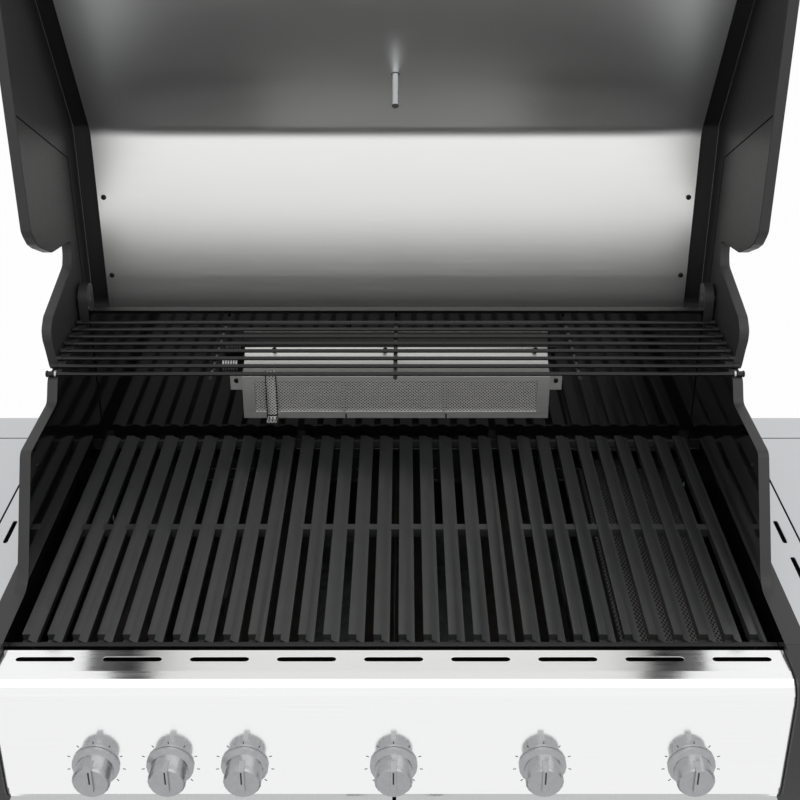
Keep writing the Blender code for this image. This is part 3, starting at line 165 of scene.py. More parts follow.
def grain(tree, pitch, stretch=(1, 1, 1), detail=2.0):
    """A noise whose features are about pitch millimetres, drawn out where stretch is below 1."""
    place = add(tree, "ShaderNodeTexCoord").outputs["Object"]
    mapped = add(tree, "ShaderNodeMapping", {"Scale": stretch}, {"Vector": place})
    return add(
        tree,
        "ShaderNodeTexNoise",
        {"Scale": 1 / (pitch * MM), "Detail": detail},
        {"Vector": mapped.outputs[0]},
    ).outputs["Fac"]


def spread(tree, source, low, high):
    """A noise value brought into a range."""
    values = {"From Min": 0.3, "From Max": 0.7, "To Min": low, "To Max": high}
    return add(tree, "ShaderNodeMapRange", values, {"Value": source}).outputs[0]


def relief(tree, source, depth):
    """A bump of depth millimetres."""
    values = {"Strength": 1.0, "Distance": depth * MM}
    return add(tree, "ShaderNodeBump", values, {"Height": source}).outputs[0]


def tones(tree, source, dark, light):
    """A mix of two close colours by a noise."""
    mixed = add(tree, "ShaderNodeMix", {}, {"Factor": source}, data_type="RGBA")
    mixed.inputs[6].default_value = linear(dark)
    mixed.inputs[7].default_value = linear(light)
    return mixed.outputs[2]


# Finishes


def powder_coated_casting(name, dark, light, coarse, roughness=0.5):
    """Cast aluminium under a satin powder coat: an even grey with a soft orange-peel skin."""
    material, tree = new_finish(name)
    skin = grain(tree, coarse)
    cloud = grain(tree, 60.0)
    shader = add(
        tree,
        "ShaderNodeBsdfPrincipled",
        {"IOR": 1.5},
        {
            "Base Color": tones(tree, cloud, dark, light),
            "Roughness": spread(tree, skin, roughness - 0.06, roughness + 0.06),
            "Normal": relief(tree, skin, 0.03),
        },
    )
    close_finish(tree, shader)
    return material


def gloss_enamel():
    """Black porcelain enamel on steel: a dark mirror with fine specks from firing."""
    material, tree = new_finish("gloss_enamel")
    speck = grain(tree, 3.0)
    shader = add(
        tree,
        "ShaderNodeBsdfPrincipled",
        {"IOR": 1.6, "Coat Weight": 1.0, "Coat Roughness": 0.04},
        {
            "Base Color": tones(tree, speck, "#0a0a0b", "#101011"),
            "Roughness": spread(tree, speck, 0.07, 0.12),
        },
    )
    close_finish(tree, shader)
    return material


def matt_enamelled_iron():
    """Cast iron under matt enamel: dark grey, faintly clouded and pitted by the sand mould."""
    material, tree = new_finish("matt_enamelled_iron")
    sand = grain(tree, 1.6, detail=4.0)
    cloud = grain(tree, 35.0)
    shader = add(
        tree,
        "ShaderNodeBsdfPrincipled",
        {"IOR": 1.5},
        {
            "Base Color": tones(tree, cloud, "#292a2a", "#363737"),
            "Roughness": spread(tree, sand, 0.34, 0.44),
            "Normal": relief(tree, sand, 0.06),
        },
    )
    close_finish(tree, shader)
    return material


def brushed_steel(name, dark, light, roughness, stretch, anisotropy=0.3, pitch=1.4):
    """Stainless steel brushed one way: long fine scratches that pull reflections across them."""
    material, tree = new_finish(name)
    scratches = grain(tree, pitch, stretch, detail=3.0)
    shader = add(
        tree,
        "ShaderNodeBsdfPrincipled",
        {"Metallic": 1.0, "Anisotropic": anisotropy},
        {
            "Base Color": tones(tree, scratches, dark, light),
            "Roughness": spread(tree, scratches, roughness - 0.03, roughness + 0.03),
            "Normal": relief(tree, scratches, 0.004),
            "Tangent": add(tree, "ShaderNodeTangent", direction_type="RADIAL", axis="X").outputs[0],
        },
    )
    close_finish(tree, shader)
    return material


def plain_metal(name, dark, light, roughness, pitch=6.0):
    """Plated, drawn or turned metal: even, with slight clouding in its shine."""
    material, tree = new_finish(name)
    cloud = grain(tree, pitch)
    shader = add(
        tree,
        "ShaderNodeBsdfPrincipled",
        {"Metallic": 1.0},
        {
            "Base Color": tones(tree, cloud, dark, light),
            "Roughness": spread(tree, cloud, roughness - 0.05, roughness + 0.05),
        },
    )
    close_finish(tree, shader)
    return material


def spangled_zinc():
    """Hot-dip zinc on steel sheet: grey crystals a centimetre across, each with its own shine."""
    material, tree = new_finish("spangled_zinc")
    place = add(tree, "ShaderNodeTexCoord").outputs["Object"]
    spangle = add(tree, "ShaderNodeTexVoronoi", {"Scale": 1 / (11 * MM)}, {"Vector": place}).outputs["Color"]
    share = add(tree, "ShaderNodeSeparateColor", {}, {"Color": spangle}).outputs[0]
    shine = add(tree, "ShaderNodeMapRange", {"To Min": 0.38, "To Max": 0.55}, {"Value": share}).outputs[0]
    colour = tones(tree, share, "#55585a", "#6d7072")
    shader = add(
        tree, "ShaderNodeBsdfPrincipled", {"Metallic": 1.0}, {"Base Color": colour, "Roughness": shine}
    )
    close_finish(tree, shader)
    return material


def perforated_sheet(name, dark, light, pitches, hole_share, hole_shade_colour, upright):
    """Steel sheet punched with staggered round holes, drawn in the colour alone: the holes carry a colour of
    painted shade.

    pitches are the distances between holes along the sheet and across it, in millimetres.
    """
    material, tree = new_finish(name)
    place = add(tree, "ShaderNodeTexCoord").outputs["Object"]
    turn = (math.pi / 2, 0, 0) if upright else (0, 0, 0)
    flat = add(tree, "ShaderNodeMapping", {"Rotation": turn}, {"Vector": place}).outputs[0]
    scale = tuple(math.sqrt(2) / (pitch * MM) for pitch in pitches)
    sized = add(tree, "ShaderNodeMapping", {"Scale": (*scale, 1)}, {"Vector": flat}).outputs[0]
    turned = add(tree, "ShaderNodeMapping", {"Rotation": (0, 0, math.pi / 4)}, {"Vector": sized}).outputs[0]
    cells = add(
        tree,
        "ShaderNodeTexVoronoi",
        {"Scale": 1.0, "Randomness": 0.0},
        {"Vector": turned},
        voronoi_dimensions="2D",
    ).outputs["Distance"]
    edge = {"From Min": hole_share, "From Max": hole_share + 0.1}
    solid = add(tree, "ShaderNodeMapRange", edge, {"Value": cells}).outputs[0]
    metal = tones(tree, grain(tree, 20.0), dark, light)
    colour = add(tree, "ShaderNodeMix", {}, {"Factor": solid, 7: metal}, data_type="RGBA")
    # The holes' colour is painted shade.
    colour.inputs[6].default_value = linear(hole_shade_colour)
    links = {"Base Color": colour.outputs[2], "Metallic": solid, "Normal": relief(tree, solid, 0.2)}
    shader = add(tree, "ShaderNodeBsdfPrincipled", {"Roughness": 0.45}, links)
    close_finish(tree, shader)
    return material


def moulded_rubber():
    """Black caster rubber: matt, with a fine moulded grain and some dust in it."""
    material, tree = new_finish("moulded_rubber")
    dust = grain(tree, 9.0)
    shader = add(
        tree,
        "ShaderNodeBsdfPrincipled",
        {"IOR": 1.52},
        {
            "Base Color": tones(tree, dust, "#1b1b1c", "#2a2a2a"),
            "Roughness": spread(tree, dust, 0.62, 0.8),
            "Normal": relief(tree, grain(tree, 0.8), 0.05),
        },
    )
    close_finish(tree, shader)
    return material


def painted_opening_shade():
    """Painted shade: a near-black for the shade inside a slot, a seam, a flame port, a groove or a screw
    recess, and for plates laid under slots.
    """
    material, tree = new_finish("painted_opening_shade")
    cloud = grain(tree, 12.0)
    shader = add(
        tree,
        "ShaderNodeBsdfPrincipled",
        {"Roughness": 0.8, "Specular IOR Level": 0.1},
        {"Base Color": tones(tree, cloud, "#040404", "#080808")},
    )
    close_finish(tree, shader)
    return material


def printed_white():
    """White printed enamel of the dial face, even and slightly glossy."""
    material, tree = new_finish("printed_white")
    cloud = grain(tree, 8.0)
    links = {"Base Color": tones(tree, cloud, "#eceae4", "#f2f1ec")}
    close_finish(tree, add(tree, "ShaderNodeBsdfPrincipled", {"Roughness": 0.35}, links))
    return material


def ink(name, dark, light):
    """Printed ink: matt and thin, with a faint unevenness."""
    material, tree = new_finish(name)
    cloud = grain(tree, 2.0)
    links = {"Base Color": tones(tree, cloud, dark, light)}
    close_finish(tree, add(tree, "ShaderNodeBsdfPrincipled", {"Roughness": 0.5}, links))
    return material


# Mesh helpers


def as_object(name, bm, materials, body, smooth_angle=30):
    """A finished piece at the origin that rides on a body."""
    mesh = bpy.data.meshes.new(name)
    bm.to_mesh(mesh)
    bm.free()
    for material in materials:
        mesh.materials.append(material)
    mesh.shade_smooth()
    mesh.set_sharp_from_angle(angle=math.radians(smooth_angle))
    piece = bpy.data.objects.new(name, mesh)
    bpy.context.scene.collection.objects.link(piece)
    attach(piece, body)
    return piece


def node_shape(node):
    """The node's mesh, merged, with flat areas as single faces."""
    bm = bmesh.new()
    bm.from_mesh(frame["nodes"][node].data)
    bmesh.ops.remove_doubles(bm, verts=bm.verts, dist=0.01 * MM)
    bmesh.ops.dissolve_limit(bm, angle_limit=math.radians(1), verts=bm.verts, edges=bm.edges)
    return bm


def soften(piece, width, sharper_than=40, segments=2):
    """Round the sharp edges of a piece with a bevel that keeps the flat faces flat."""
    bevel = piece.modifiers.new("softened_edges", "BEVEL")
    bevel.width = width * MM
    bevel.segments = segments
    bevel.limit_method = "ANGLE"
    bevel.angle_limit = math.radians(sharper_than)
    bevel.harden_normals = True


def dress(node, materials, width=None, choose=None, sharper_than=40, segments=2, smooth_angle=30):
    """Show a node as a piece with softened edges. choose gives a face its material's number."""
    bm = node_shape(node)
    if choose:
        for face in bm.faces:
            face.material_index = choose(face)
    piece = as_object(f"{node}_dressed", bm, materials, body_of(node), smooth_angle)
    if width:
        soften(piece, width, sharper_than, segments)
    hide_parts(node)
    return piece


def body_of(node):
    return next(body for body, nodes in frame["record"]["behaviour"]["bodies"].items() if node in nodes)


def paint(node, material):
    """Give a node that shows as it is its finish."""
    shown = frame["nodes"][node]
    shown.data.materials.clear()
    shown.data.materials.append(material)


def add_box(bm, low, high, finish=0):
    """A block between two corners, with the number of its finish."""
    size = high - low
    stretch = Matrix.Diagonal((abs(size.x), abs(size.y), abs(size.z), 1))
    matrix = Matrix.Translation((low + high) / 2) @ stretch
    made = bmesh.ops.create_cube(bm, size=1, matrix=matrix)["verts"]
    for face in {f for v in made for f in v.link_faces}:
        face.material_index = finish
    return made


def add_bar(bm, start, end, across, width, depth, finish=0):
    """A flat bar from start to end: width square to its run in the plane it lies on, depth along across."""
    run = end - start
    frame_axes = Matrix((run.normalized(), across.cross(run).normalized(), across)).transposed().to_4x4()
    scale = Matrix.Diagonal((run.length, width * MM, depth * MM, 1))
    matrix = Matrix.Translation((start + end) / 2) @ frame_axes @ scale
    made = bmesh.ops.create_cube(bm, size=1, matrix=matrix)["verts"]
    for face in {f for v in made for f in v.link_faces}:
        face.material_index = finish
    return made


def add_round(bm, start, end, radius, segments=16, finish=0, far_radius=None):
    """A round bar or cone from start to end."""
    run = end - start
    matrix = Matrix.Translation((start + end) / 2) @ Z.rotation_difference(run).to_matrix().to_4x4()
    made = bmesh.ops.create_cone(
        bm,
        cap_ends=True,
        segments=segments,
        radius1=radius * MM,
        radius2=(radius if far_radius is None else far_radius) * MM,
        depth=run.length,
        matrix=matrix,
    )["verts"]
    for face in {f for v in made for f in v.link_faces}:
        face.material_index = finish
    return made


def add_screw(bm, place, direction, radius=3.4, finish=0, recess_shade_finish=1):
    """A pan-head screw with a cross recess, its head towards direction. The recess is two flat bars in
    painted shade.
    """
    add_round(bm, place, place + direction * radius * 0.3 * MM, radius, 16, finish)
    shoulder = place + direction * radius * 0.3 * MM
    top = shoulder + direction * radius * 0.25 * MM
    add_round(bm, shoulder, top, radius, 16, finish, radius * 0.7)
    turn = Z.rotation_difference(direction).to_matrix()
    for flat in (X, Y):
        arm = turn @ flat * radius * 0.45 * MM
        add_bar(bm, top - arm, top + arm, direction, radius * 0.22, radius * 0.06, recess_shade_finish)


# Studio


def build_camera():
    data = bpy.data.cameras.new("photo_camera")
    data.lens = FOCAL_LENGTH
    data.shift_x = FRAME_SHIFT
    camera = bpy.data.objects.new("photo_camera", data)
    camera.location = at(CAMERA_SIDE, -CAMERA_BACK, CAMERA_HEIGHT)
    camera.rotation_euler = (math.pi / 2 - CAMERA_TILT, 0, 0)
    bpy.context.scene.collection.objects.link(camera)
    bpy.context.scene.camera = camera


def add_lamp(name, place, target, size, power):
    data = bpy.data.lights.new(name, "AREA")
    data.shape = "RECTANGLE"
    data.size, data.size_y = size
    data.energy = power
    lamp = bpy.data.objects.new(name, data)
    lamp.location = place
    lamp.rotation_euler = (Vector(target) - Vector(place)).to_track_quat("-Z", "Y").to_euler()
    bpy.context.scene.collection.objects.link(lamp)


def seen_directly(tree):
    """1 for camera, mirror and glass rays, 0 for the rays that light surfaces."""
    path = add(tree, "ShaderNodeLightPath")
    share = path.outputs["Is Camera Ray"]
    for kind in ("Is Glossy Ray", "Is Transmission Ray"):
        share = add(
            tree, "ShaderNodeMath", {}, {0: share, 1: path.outputs[kind]}, operation="MAXIMUM"
        ).outputs[0]
    return share


def build_studio():
    world = bpy.data.worlds.new("studio")
    bpy.context.scene.world = world
    world.use_nodes = True
    tree = world.node_tree
    tree.nodes.clear()
    lit = add(tree, "ShaderNodeBackground", {"Strength": 0.85, "Color": (1, 1, 1, 1)})
    seen = add(tree, "ShaderNodeBackground", {"Strength": 1.0, "Color": (1, 1, 1, 1)})
    links = {0: seen_directly(tree), 1: lit.outputs[0], 2: seen.outputs[0]}
    mixed = add(tree, "ShaderNodeMixShader", {}, links)
    add(tree, "ShaderNodeOutputWorld", links={"Surface": mixed.outputs[0]})
    add_lamp("overhead_softbox", (0.6, -1.2, 3.4), (0, 0.1, 0.9), (3.4, 2.4), 18)
    bm = bmesh.new()
    bmesh.ops.create_grid(bm, x_segments=1, y_segments=1, size=8)
    mesh = bpy.data.meshes.new("studio_floor")
    bm.to_mesh(mesh)
    bm.free()
    material, tree = new_finish("pale_studio_floor")
    surface = add(tree, "ShaderNodeBsdfPrincipled", {"Roughness": 0.9, "Base Color": linear("#f6f6f6")})
    glow = add(tree, "ShaderNodeEmission", {"Strength": 1.0, "Color": (1, 1, 1, 1)})
    share = add(
        tree, "ShaderNodeMath", {1: 0.94}, {0: seen_directly(tree)}, operation="MULTIPLY"
    ).outputs[0]
    pale = add(tree, "ShaderNodeMixShader", {}, {0: share, 1: surface.outputs[0], 2: glow.outputs[0]})
    close_finish(tree, pale)
    mesh.materials.append(material)
    floor = bpy.data.objects.new("studio_floor", mesh)
    bpy.context.scene.collection.objects.link(floor)
    bpy.context.scene.view_settings.view_transform = "Standard"


# Pieces


def inner_face(side):
    """Chooses enamel for the faces of a casting that look into the firebox."""
    return lambda face: 1 if face.normal.x * side < -0.9 else 0


def top_face(face):
    """Chooses the second finish for the faces that look up."""
    return 1 if face.normal.z > 0.7 else 0


def dress_firebox():
    for word, side in SIDES:
        dress(f"{word}_casting", [casting_coat, enamel], CAST_EDGE, inner_face(side), 35, 3)
        dress(f"{word}_end_cap", [casting_coat], CAST_EDGE, None, 50)
    for node in ("firebox_front", "firebox_back"):
        dress(node, [enamel, small_part_black], SHEET_EDGE * 0.5, top_face, smooth_angle=5)
    paint("firebox_bottom", zinc)
    for word in ("left", "center", "right"):
        dress(f"grate_{word}", [iron], BAR_EDGE, None, 35)
    for node in ("left_hinge_pin", "right_hinge_pin"):
        paint(node, plated)
    bm = bmesh.new()
    for _, side in SIDES:
        for y, z in WALL_SCREWS:
            add_screw(bm, at(side * WALL_FACE, y, z), -X * side, 3.0)
        # A thin strip of painted shade in each back corner of the firebox.
        low, high = sorted((side * (WALL_FACE - 0.9), side * (WALL_FACE - 0.1)))
        add_box(bm, at(low, 458.9, -60.0), at(high, 459.8, 172.0), 1)
    as_object("wall_screws_and_corner_shade", bm, [black_zinc, painted_shade_black], "grill")


def dress_rack():
    """The rods keep their CAD shape. Black collars end them, with a washer and a cap on the front rod."""
    paint("warming_rack", satin_black)
    bm = bmesh.new()
    for place in RACK_RODS:
        for _, side in SIDES:
            inner = at(side * 400.5, place, RACK_HEIGHT)
            add_round(bm, inner, at(side * 407.6, place, RACK_HEIGHT), 3.3, 12)
    for _, side in SIDES:
        inner = at(side * 397.0, RACK_RODS[0], RACK_HEIGHT)
        add_round(bm, inner, at(side * 399.5, RACK_RODS[0], RACK_HEIGHT), 4.2, 16, 1)
        inner = at(side * 407.6, RACK_RODS[0], RACK_HEIGHT)
        add_round(bm, inner, at(side * 409.6, RACK_RODS[0], RACK_HEIGHT), 4.4, 16, 0, 3.4)
    piece = as_object("rack_collars", bm, [small_part_black, plated], "warming_rack")
    soften(piece, 0.5)


def wall_flange(face):
    """Chooses a dark copy of the housing's steel, painted shade, for the flange that fixes the rear burner
    to the wall.
    """
    return 1 if face.normal.y < -0.7 and face.calc_center_median().z > at(0, 0, 118.0).z else 0


def dress_burners():
    dress("rear_burner_housing", [burner_steel, flange_shade_steel], SHEET_EDGE * 0.5, wall_flange)
    dress("rear_igniter", [rear_mesh], SHEET_EDGE * 0.3)
    paint("rear_burner_tile", rear_mesh)
    for k in range(1, 5):
        paint(f"burner_{k}", tube_steel)
        dress(f"heat_tent_{k}", [tube_steel], SHEET_EDGE * 0.4)
    paint("sear_burner", sear_mesh)
    paint("gas_manifold", satin_black)
    paint("rear_gas_tube", aluminium)
    dress_rear_burner()
    dress_main_burners()


def dress_rear_burner():
    """Tile seams, frame notches, screws and the ribbed feed of the rear burner. The notches, the igniter's
    edges, the screw recesses and the feed's grooves are painted shade.
    """
    bm = bmesh.new()
    for x in TILE_SEAMS_X:
        add_box(bm, at(x - 0.9, 409.6, 51.4), at(x + 0.9, 410.4, 100.6), 0)
        add_box(bm, at(x + 1.2, 409.7, 44.4), at(x + 3.2, 410.2, 50.6), 1)
    for x in BURNER_TOP_SCREWS_X:
        add_screw(bm, at(x, 452.0, 122.6), Vector((0, -0.38, 0.92)).normalized(), 3.0, 2, 1)
    for x in BURNER_TAB_SCREWS_X:
        add_screw(bm, at(x, 414.6, 96.0), -Y, 3.0, 2, 1)
    for x in IGNITER_EDGES_X:
        add_box(bm, at(x, 407.4, 46.0), at(x + 0.9, 408.3, 111.6), 1)
    add_box(bm, at(-166.9, 407.2, 48.6), at(-153.0, 408.2, 49.8), 1)
    for k in range(FEED_RINGS):
        start = at(FEED_START + FEED_PITCH * k, 440.0, 107.0)
        add_round(bm, start, start + X * 2.0 * MM, 9.0, 20, 0)
        add_round(bm, start + X * 2.0 * MM, start + X * FEED_PITCH * MM, 7.4, 20, 1)
    as_object("rear_burner_fittings", bm, [seam_steel, painted_shade_black, black_zinc], "grill")


def dress_main_burners():
    """Two rows of flame ports on each main burner, drawn as short studs in painted shade."""
    bm = bmesh.new()
    for k in range(1, 5):
        low, high = (Vector(corner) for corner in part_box(f"burner_{k}"))
        x = (low.x + high.x) / 2
        z = (low.z + high.z) / 2
        radius = (high.z - low.z) / 2
        for side in (-1, 1):
            spot = Vector((side * math.sin(PORT_ANGLE), 0, math.cos(PORT_ANGLE)))
            for row in range(PORTS_IN_A_ROW):
                place = Vector((x, low.y + 0.03 + row * 0.014, z)) + spot * (radius - 0.0004)
                add_round(bm, place, place + spot * 0.0006, PORT_RADIUS, 8)
    as_object("flame_ports", bm, [painted_shade_black], "grill")


def skin_side(face):
    """Chooses the near-black of painted shade for the skin's inside and for its two end edges."""
    outward = (face.calc_center_median() - lid_middle).dot(face.normal) > 0
    return 0 if outward and abs(face.normal.x) < 0.9 else 1


def dress_lid():
    for word, side in SIDES:
        dress(f"lid_{word}_side", [casting_coat], CAST_EDGE, None, 35, 3)
    dress("lid_skin", [lid_steel, skin_painted_shade], None, skin_side)
    dress("lid_liner", [liner_steel])
    dress("lid_handle", [lid_steel], SHEET_EDGE)
    bm = bmesh.new()
    for x in (-LINER_SCREW_X, LINER_SCREW_X):
        for z in LINER_SCREW_HEIGHTS:
            add_screw(bm, at(x, LINER_FACE, z), -Y)
    as_object("liner_screws", bm, [small_part_black, painted_shade_black], "lid")
    bm = bmesh.new()
    for _, side in SIDES:
        end = far_disc("lid_handle", X * side)
        add_round(bm, end + X * side * 0.05 * MM, end + X * side * 3.0 * MM, 12.0, 32, 0, 11.0)
    as_object("handle_end_caps", bm, [satin_black], "lid")
    dress_lid_sides()


def dress_lid_sides():
    """Grooves on the inner faces of the lid's sides, drawn as thin strips in painted shade."""
    bm = bmesh.new()
    for _, side in SIDES:
        x = side * (LID_SIDE_FACE + 0.1)
        for (y_start, z_start), (y_end, z_end) in GROOVES:
            add_bar(bm, at(x, y_start, z_start), at(x, y_end, z_end), X, GROOVE_WIDTH, GROOVE_DEPTH)
    as_object("lid_side_grooves", bm, [painted_shade_black], "lid")


def dress_front():
    dress("control_panel", [panel_steel], SHEET_EDGE * 0.5, smooth_angle=5)
    for k in range(1, 7):
        dress(f"knob_{k}", [knob_metal], SHEET_EDGE * 0.6)
    bm = bmesh.new()
    # A black plate of painted shade under the panel's slots, so that the slots look black; the real grill
    # has no such plate.
    add_box(bm, at(-388.0, -62.0, -8.0), at(388.0, -27.0, -5.0))
    as_object("vent_shadow", bm, [painted_shade_black], "grill")
    dress_knobs()


def dress_knobs():
    """A pointer line on each knob's grip and printed ticks round it on the panel."""
    ticks = bmesh.new()
    for k in range(1, 7):
        low, high = (Vector(corner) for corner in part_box(f"knob_{k}"))
        x = (low.x + high.x) / 2
        middle = Vector((x, low.y - 0.05 * MM, DATUM.z + KNOB_HEIGHT * MM))
        bm = bmesh.new()
        add_bar(bm, middle + Z * 2.0 * MM, middle + Z * 17.0 * MM, Y, 1.6, 0.16)
        as_object(f"knob_{k}_pointer", bm, [black_ink], body_of(f"knob_{k}"))
        for tick in range(KNOB_TICKS):
            angle = math.radians(KNOB_TICK_START + tick * KNOB_TICK_TURN)
            spoke = Vector((math.sin(angle), 0, math.cos(angle)))
            root = Vector((x, DATUM.y + PANEL_FACE * MM, middle.z))
            add_bar(ticks, root + spoke * 27.0 * MM, root + spoke * 30.0 * MM, Y, 0.9, 0.14)
    as_object("knob_ticks", ticks, [black_ink], "grill")


def dress_shelves():
    """Slots and seams show black: a dark strip of painted shade, which the real shelf doesn't have, lies
    under the slots and in the bottom of each seam.
    """
    for word, side in SIDES:
        dress(f"{word}_shelf", [shelf_steel], SHEET_EDGE * 0.25)
        bm = bmesh.new()
        x = side * SLOT_X
        add_box(bm, at(x - 12.0, SLOT_PLACES[0] - 36.0, -7.0), at(x + 12.0, SLOT_PLACES[-1] + 36.0, -5.0))
        x = side * SHELF_SEAM_X
        add_box(bm, at(x - 1.25, SHELF_DEPTH[0] + 0.5, -0.9), at(x + 1.25, SHELF_SEAM_Y, -0.35))
        low, high = sorted((side * (SHELF_EDGES[0] + 0.5), side * (SHELF_EDGES[1] - 0.5)))
        add_box(bm, at(low, SHELF_SEAM_Y - 1.25, -0.9), at(high, SHELF_SEAM_Y + 1.25, -0.35))
        as_object(f"{word}_shelf_shadow", bm, [painted_shade_black], "grill")


def dress_cabinet():
    for word, side in SIDES:
        dress(f"{word}_cabinet_side", [cabinet_coat], SHEET_EDGE * 0.5)
        dress(f"{word}_door", [door_steel], SHEET_EDGE * 0.5)
        paint(f"{word}_door_handle", handle_steel)
        bm = bmesh.new()
        for z in HANDLE_FEET:
            foot = at(side * DOOR_HANDLE_X, DOOR_FACE, z)
            add_round(bm, foot - Y * 0.1 * MM, foot - Y * 3.0 * MM, 10.5, 24, 0, 9.5)
        as_object(f"{word}_handle_rosettes", bm, [handle_steel], body_of(f"{word}_door"))
    dress("cabinet_back", [cabinet_coat], SHEET_EDGE * 0.5)
    dress("cabinet_floor", [cabinet_coat], SHEET_EDGE * 0.5)
    paint("grease_tray", zinc)
    bm = bmesh.new()
    for word, side in SIDES:
        low, high = (Vector(corner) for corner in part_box(f"{word}_cabinet_side"))
        face = high.x if side > 0 else low.x
        for y in (low.y + CABINET_SCREW_INSET, high.y - CABINET_SCREW_INSET):
            middle = (low.z + high.z) / 2
            for z in (low.z + CABINET_SCREW_INSET, middle, high.z - CABINET_SCREW_DROP):
                add_screw(bm, Vector((face, y, z)), X * side, 4.0)
    low, high = (Vector(corner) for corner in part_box("cabinet_back"))
    for x in (low.x + CABINET_SCREW_INSET, 0, high.x - CABINET_SCREW_INSET):
        for z in (low.z + CABINET_SCREW_INSET, high.z - CABINET_SCREW_DROP):
            add_screw(bm, Vector((x, high.y, z)), Y, 4.0)
    as_object("cabinet_screws", bm, [black_zinc, painted_shade_black], "grill")
    dress_casters()


def dress_casters():
    """Plastic wheel discs inside rubber tyres and the axle bolts in the forks."""
    for k in range(1, 5):
        dress(f"caster_fork_{k}", [plated], SHEET_EDGE * 0.5)
        low, high = (Vector(corner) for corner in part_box(f"caster_wheel_{k}"))
        axle = (low + high) / 2
        dress(f"caster_wheel_{k}", [rubber, wheel_plastic], 0.5, within(axle, 31.0))
        bm = bmesh.new()
        for side in (-1, 1):
            cheek = axle + X * side * (high.x - axle.x + AXLE_CHEEK * MM)
            add_round(bm, cheek + X * side * 0.05 * MM, cheek + X * side * 4.0 * MM, 6.0, 6)
        as_object(f"axle_bolt_{k}", bm, [plated], body_of(f"caster_fork_{k}"))


def within(axle, reach):
    """Chooses the second finish for faces that lie wholly within reach of an axle along X."""
    limit = reach * MM
    return lambda face: 1 if all(Vector((0, *(v.co - axle).yz)).length < limit for v in face.verts) else 0


def far_disc(node, direction):
    """The middle of the part of a node that reaches farthest along a direction."""
    points = [vertex.co for vertex in frame["nodes"][node].data.vertices]
    reach = max(point.dot(direction) for point in points)
    outer = [point for point in points if point.dot(direction) > reach - 0.3 * MM]
    return sum(outer, Vector()) / len(outer)


def build_dial():
    """The thermometer's white face with its ticks and needle. Returns where the numbers go."""
    paint("thermometer", plated)
    out = Vector((0, 0.8609, 0.5088))
    up = Vector((0, -0.5088, 0.8609)) * -1
    right = up.cross(out)
    middle = far_disc("thermometer", out) + out * 0.15 * MM
    turn = Matrix((right, up, out)).transposed().to_4x4()
    face = Matrix.Translation(middle) @ turn
    bm = bmesh.new()
    bmesh.ops.create_circle(bm, cap_ends=True, segments=64, radius=DIAL_RADIUS * MM, matrix=face)
    for k in range(DIAL_TICKS):
        angle = math.radians(DIAL_START - TICK_TURN * k)
        inner = 25.5 if k % TICKS_PER_NUMBER else 22.5
        spot = Vector((math.cos(angle), math.sin(angle), 0))
        start = face @ (spot * inner * MM + Z * 0.12 * MM)
        end = face @ (spot * TICK_OUTER * MM + Z * 0.12 * MM)
        add_bar(bm, start, end, out, 0.5 if k % TICKS_PER_NUMBER else 0.9, 0.12, 1)
    tip = face @ Vector((-19 * MM, 8 * MM, 1.0 * MM))
    tail = face @ Vector((6 * MM, -2.5 * MM, 1.0 * MM))
    add_bar(bm, tail, tip, out, 1.4, 0.3, 2)
    add_round(bm, middle + out * 0.5 * MM, middle + out * 2.2 * MM, 3.0, 24, 2)
    as_object("thermometer_face", bm, [white_print, black_ink, red_ink], "lid")
    return face


def add_number(word, place, size, material, body):
    """A flat printed number, turned into a mesh at the origin."""
    curve = bpy.data.curves.new(f"number_{word}", "FONT")
    curve.body = word
    curve.size = size * MM
    curve.align_x = "CENTER"
    curve.align_y = "CENTER"
    curve.extrude = 0.04 * MM
    source = bpy.data.objects.new(f"number_{word}_source", curve)
    bpy.context.scene.collection.objects.link(source)
    graph = bpy.context.evaluated_depsgraph_get()
    mesh = bpy.data.meshes.new_from_object(source.evaluated_get(graph))
    bpy.data.objects.remove(source)
    mesh.transform(place)
    mesh.materials.clear()
    mesh.materials.append(material)
    piece = bpy.data.objects.new(f"number_{word}", mesh)
    bpy.context.scene.collection.objects.link(piece)
    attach(piece, body)


def print_numbers(face):
    """Plain numbers of degrees round the dial, upright when the lid is shut."""
    for k in range(DIAL_TICKS // TICKS_PER_NUMBER + 1):
        angle = math.radians(DIAL_START - TICK_TURN * TICKS_PER_NUMBER * k)
        spot = Vector((math.cos(angle), math.sin(angle), 0)) * NUMBER_RADIUS * MM
        place = face @ Matrix.Translation(spot + Z * 0.16 * MM)
        add_number(str(100 * (k + 1)), place, NUMBER_SIZE, black_ink, "lid")


build_camera()
build_studio()

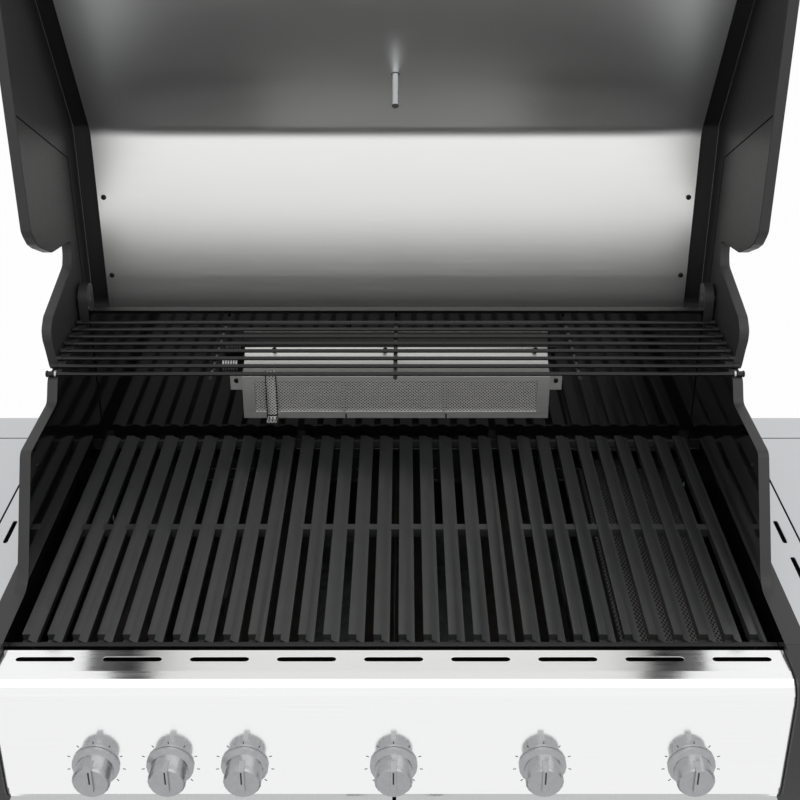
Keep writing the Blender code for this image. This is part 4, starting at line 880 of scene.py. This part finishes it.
casting_coat = powder_coated_casting("grey_powder_coat", "#252525", "#2b2b2b", 1.8)
# Painted shade: near-black for the inside and the end edges of the lid's skin.
skin_painted_shade = powder_coated_casting("lid_skin_painted_shade", "#171717", "#1d1d1d", 1.8)
cabinet_coat = powder_coated_casting("cabinet_powder_coat", "#2c2d2f", "#343537", 1.2)
enamel = gloss_enamel()
iron = matt_enamelled_iron()
satin_black = powder_coated_casting("satin_black_coat", "#0a0a0a", "#101010", 1.0, 0.3)
small_part_black = powder_coated_casting("black_screw_coat", "#060606", "#0a0a0a", 1.0)
panel_steel = brushed_steel("panel_brushed_steel", "#eff0f0", "#f7f7f7", 0.13, (0.01, 1, 1), 0.1)
lid_steel = brushed_steel("lid_brushed_steel", "#bfc0c1", "#d3d4d4", 0.3, (0.01, 1, 1))
liner_steel = brushed_steel("liner_brushed_steel", "#f4f4f2", "#f9f9f7", 0.33, (0.01, 1, 1), 0.0, 0.7)
shelf_steel = brushed_steel("shelf_matt_steel", "#c4c6c8", "#d0d2d4", 0.5, (0.02, 1, 1))
door_steel = brushed_steel("door_brushed_steel", "#bfc0c1", "#d0d1d1", 0.33, (1, 1, 0.01))
handle_steel = plain_metal("handle_steel", "#c4c5c6", "#d0d1d2", 0.28)
burner_steel = brushed_steel("burner_steel", "#c4c4c2", "#d2d2d0", 0.34, (0.02, 1, 1))
seam_steel = plain_metal("tile_seam_steel", "#b9b9b8", "#c6c6c5", 0.4)
tube_steel = plain_metal("heat_worn_steel", "#6f6c68", "#8a8782", 0.42, 18.0)
rear_mesh = perforated_sheet("rear_burner_mesh", "#d3d3d1", "#e0e0de", (4.49, 4.0), 0.3, "#262626", True)
sear_mesh = perforated_sheet("sear_burner_mesh", "#b9b8b5", "#cfcecb", (4.5, 8.0), 0.34, "#0c0c0c", False)
plated = plain_metal("zinc_plated_steel", "#b4b6b8", "#c6c8ca", 0.32)
black_zinc = plain_metal("black_zinc_plate", "#2a2a2b", "#343435", 0.35)
# Painted shade: a dark copy of the rear burner's steel for its front-facing flange.
flange_shade_steel = plain_metal("flange_painted_shade_steel", "#3e3d3c", "#4a4948", 0.45)
aluminium = plain_metal("aluminium_tube", "#b9bbbd", "#cfd1d3", 0.36)
knob_metal = plain_metal("turned_knob_metal", "#9a9b9d", "#b1b2b4", 0.3)
zinc = spangled_zinc()
rubber = moulded_rubber()
wheel_plastic = powder_coated_casting("moulded_grey_plastic", "#3a3b3c", "#434445", 1.5, 0.42)
# Painted shade for openings, recesses and grooves, and for black plates under slots.
painted_shade_black = painted_opening_shade()
white_print = printed_white()
black_ink = ink("black_ink", "#101010", "#181818")
red_ink = ink("red_ink", "#a81c16", "#b5261e")
lid_low, lid_high = (Vector(corner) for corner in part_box("lid_skin"))
lid_middle = Vector((0, lid_low.y, (lid_low.z + lid_high.z) / 2))

dress_firebox()
dress_rack()
dress_burners()
dress_lid()
print_numbers(build_dial())
dress_front()
dress_shelves()
dress_cabinet()
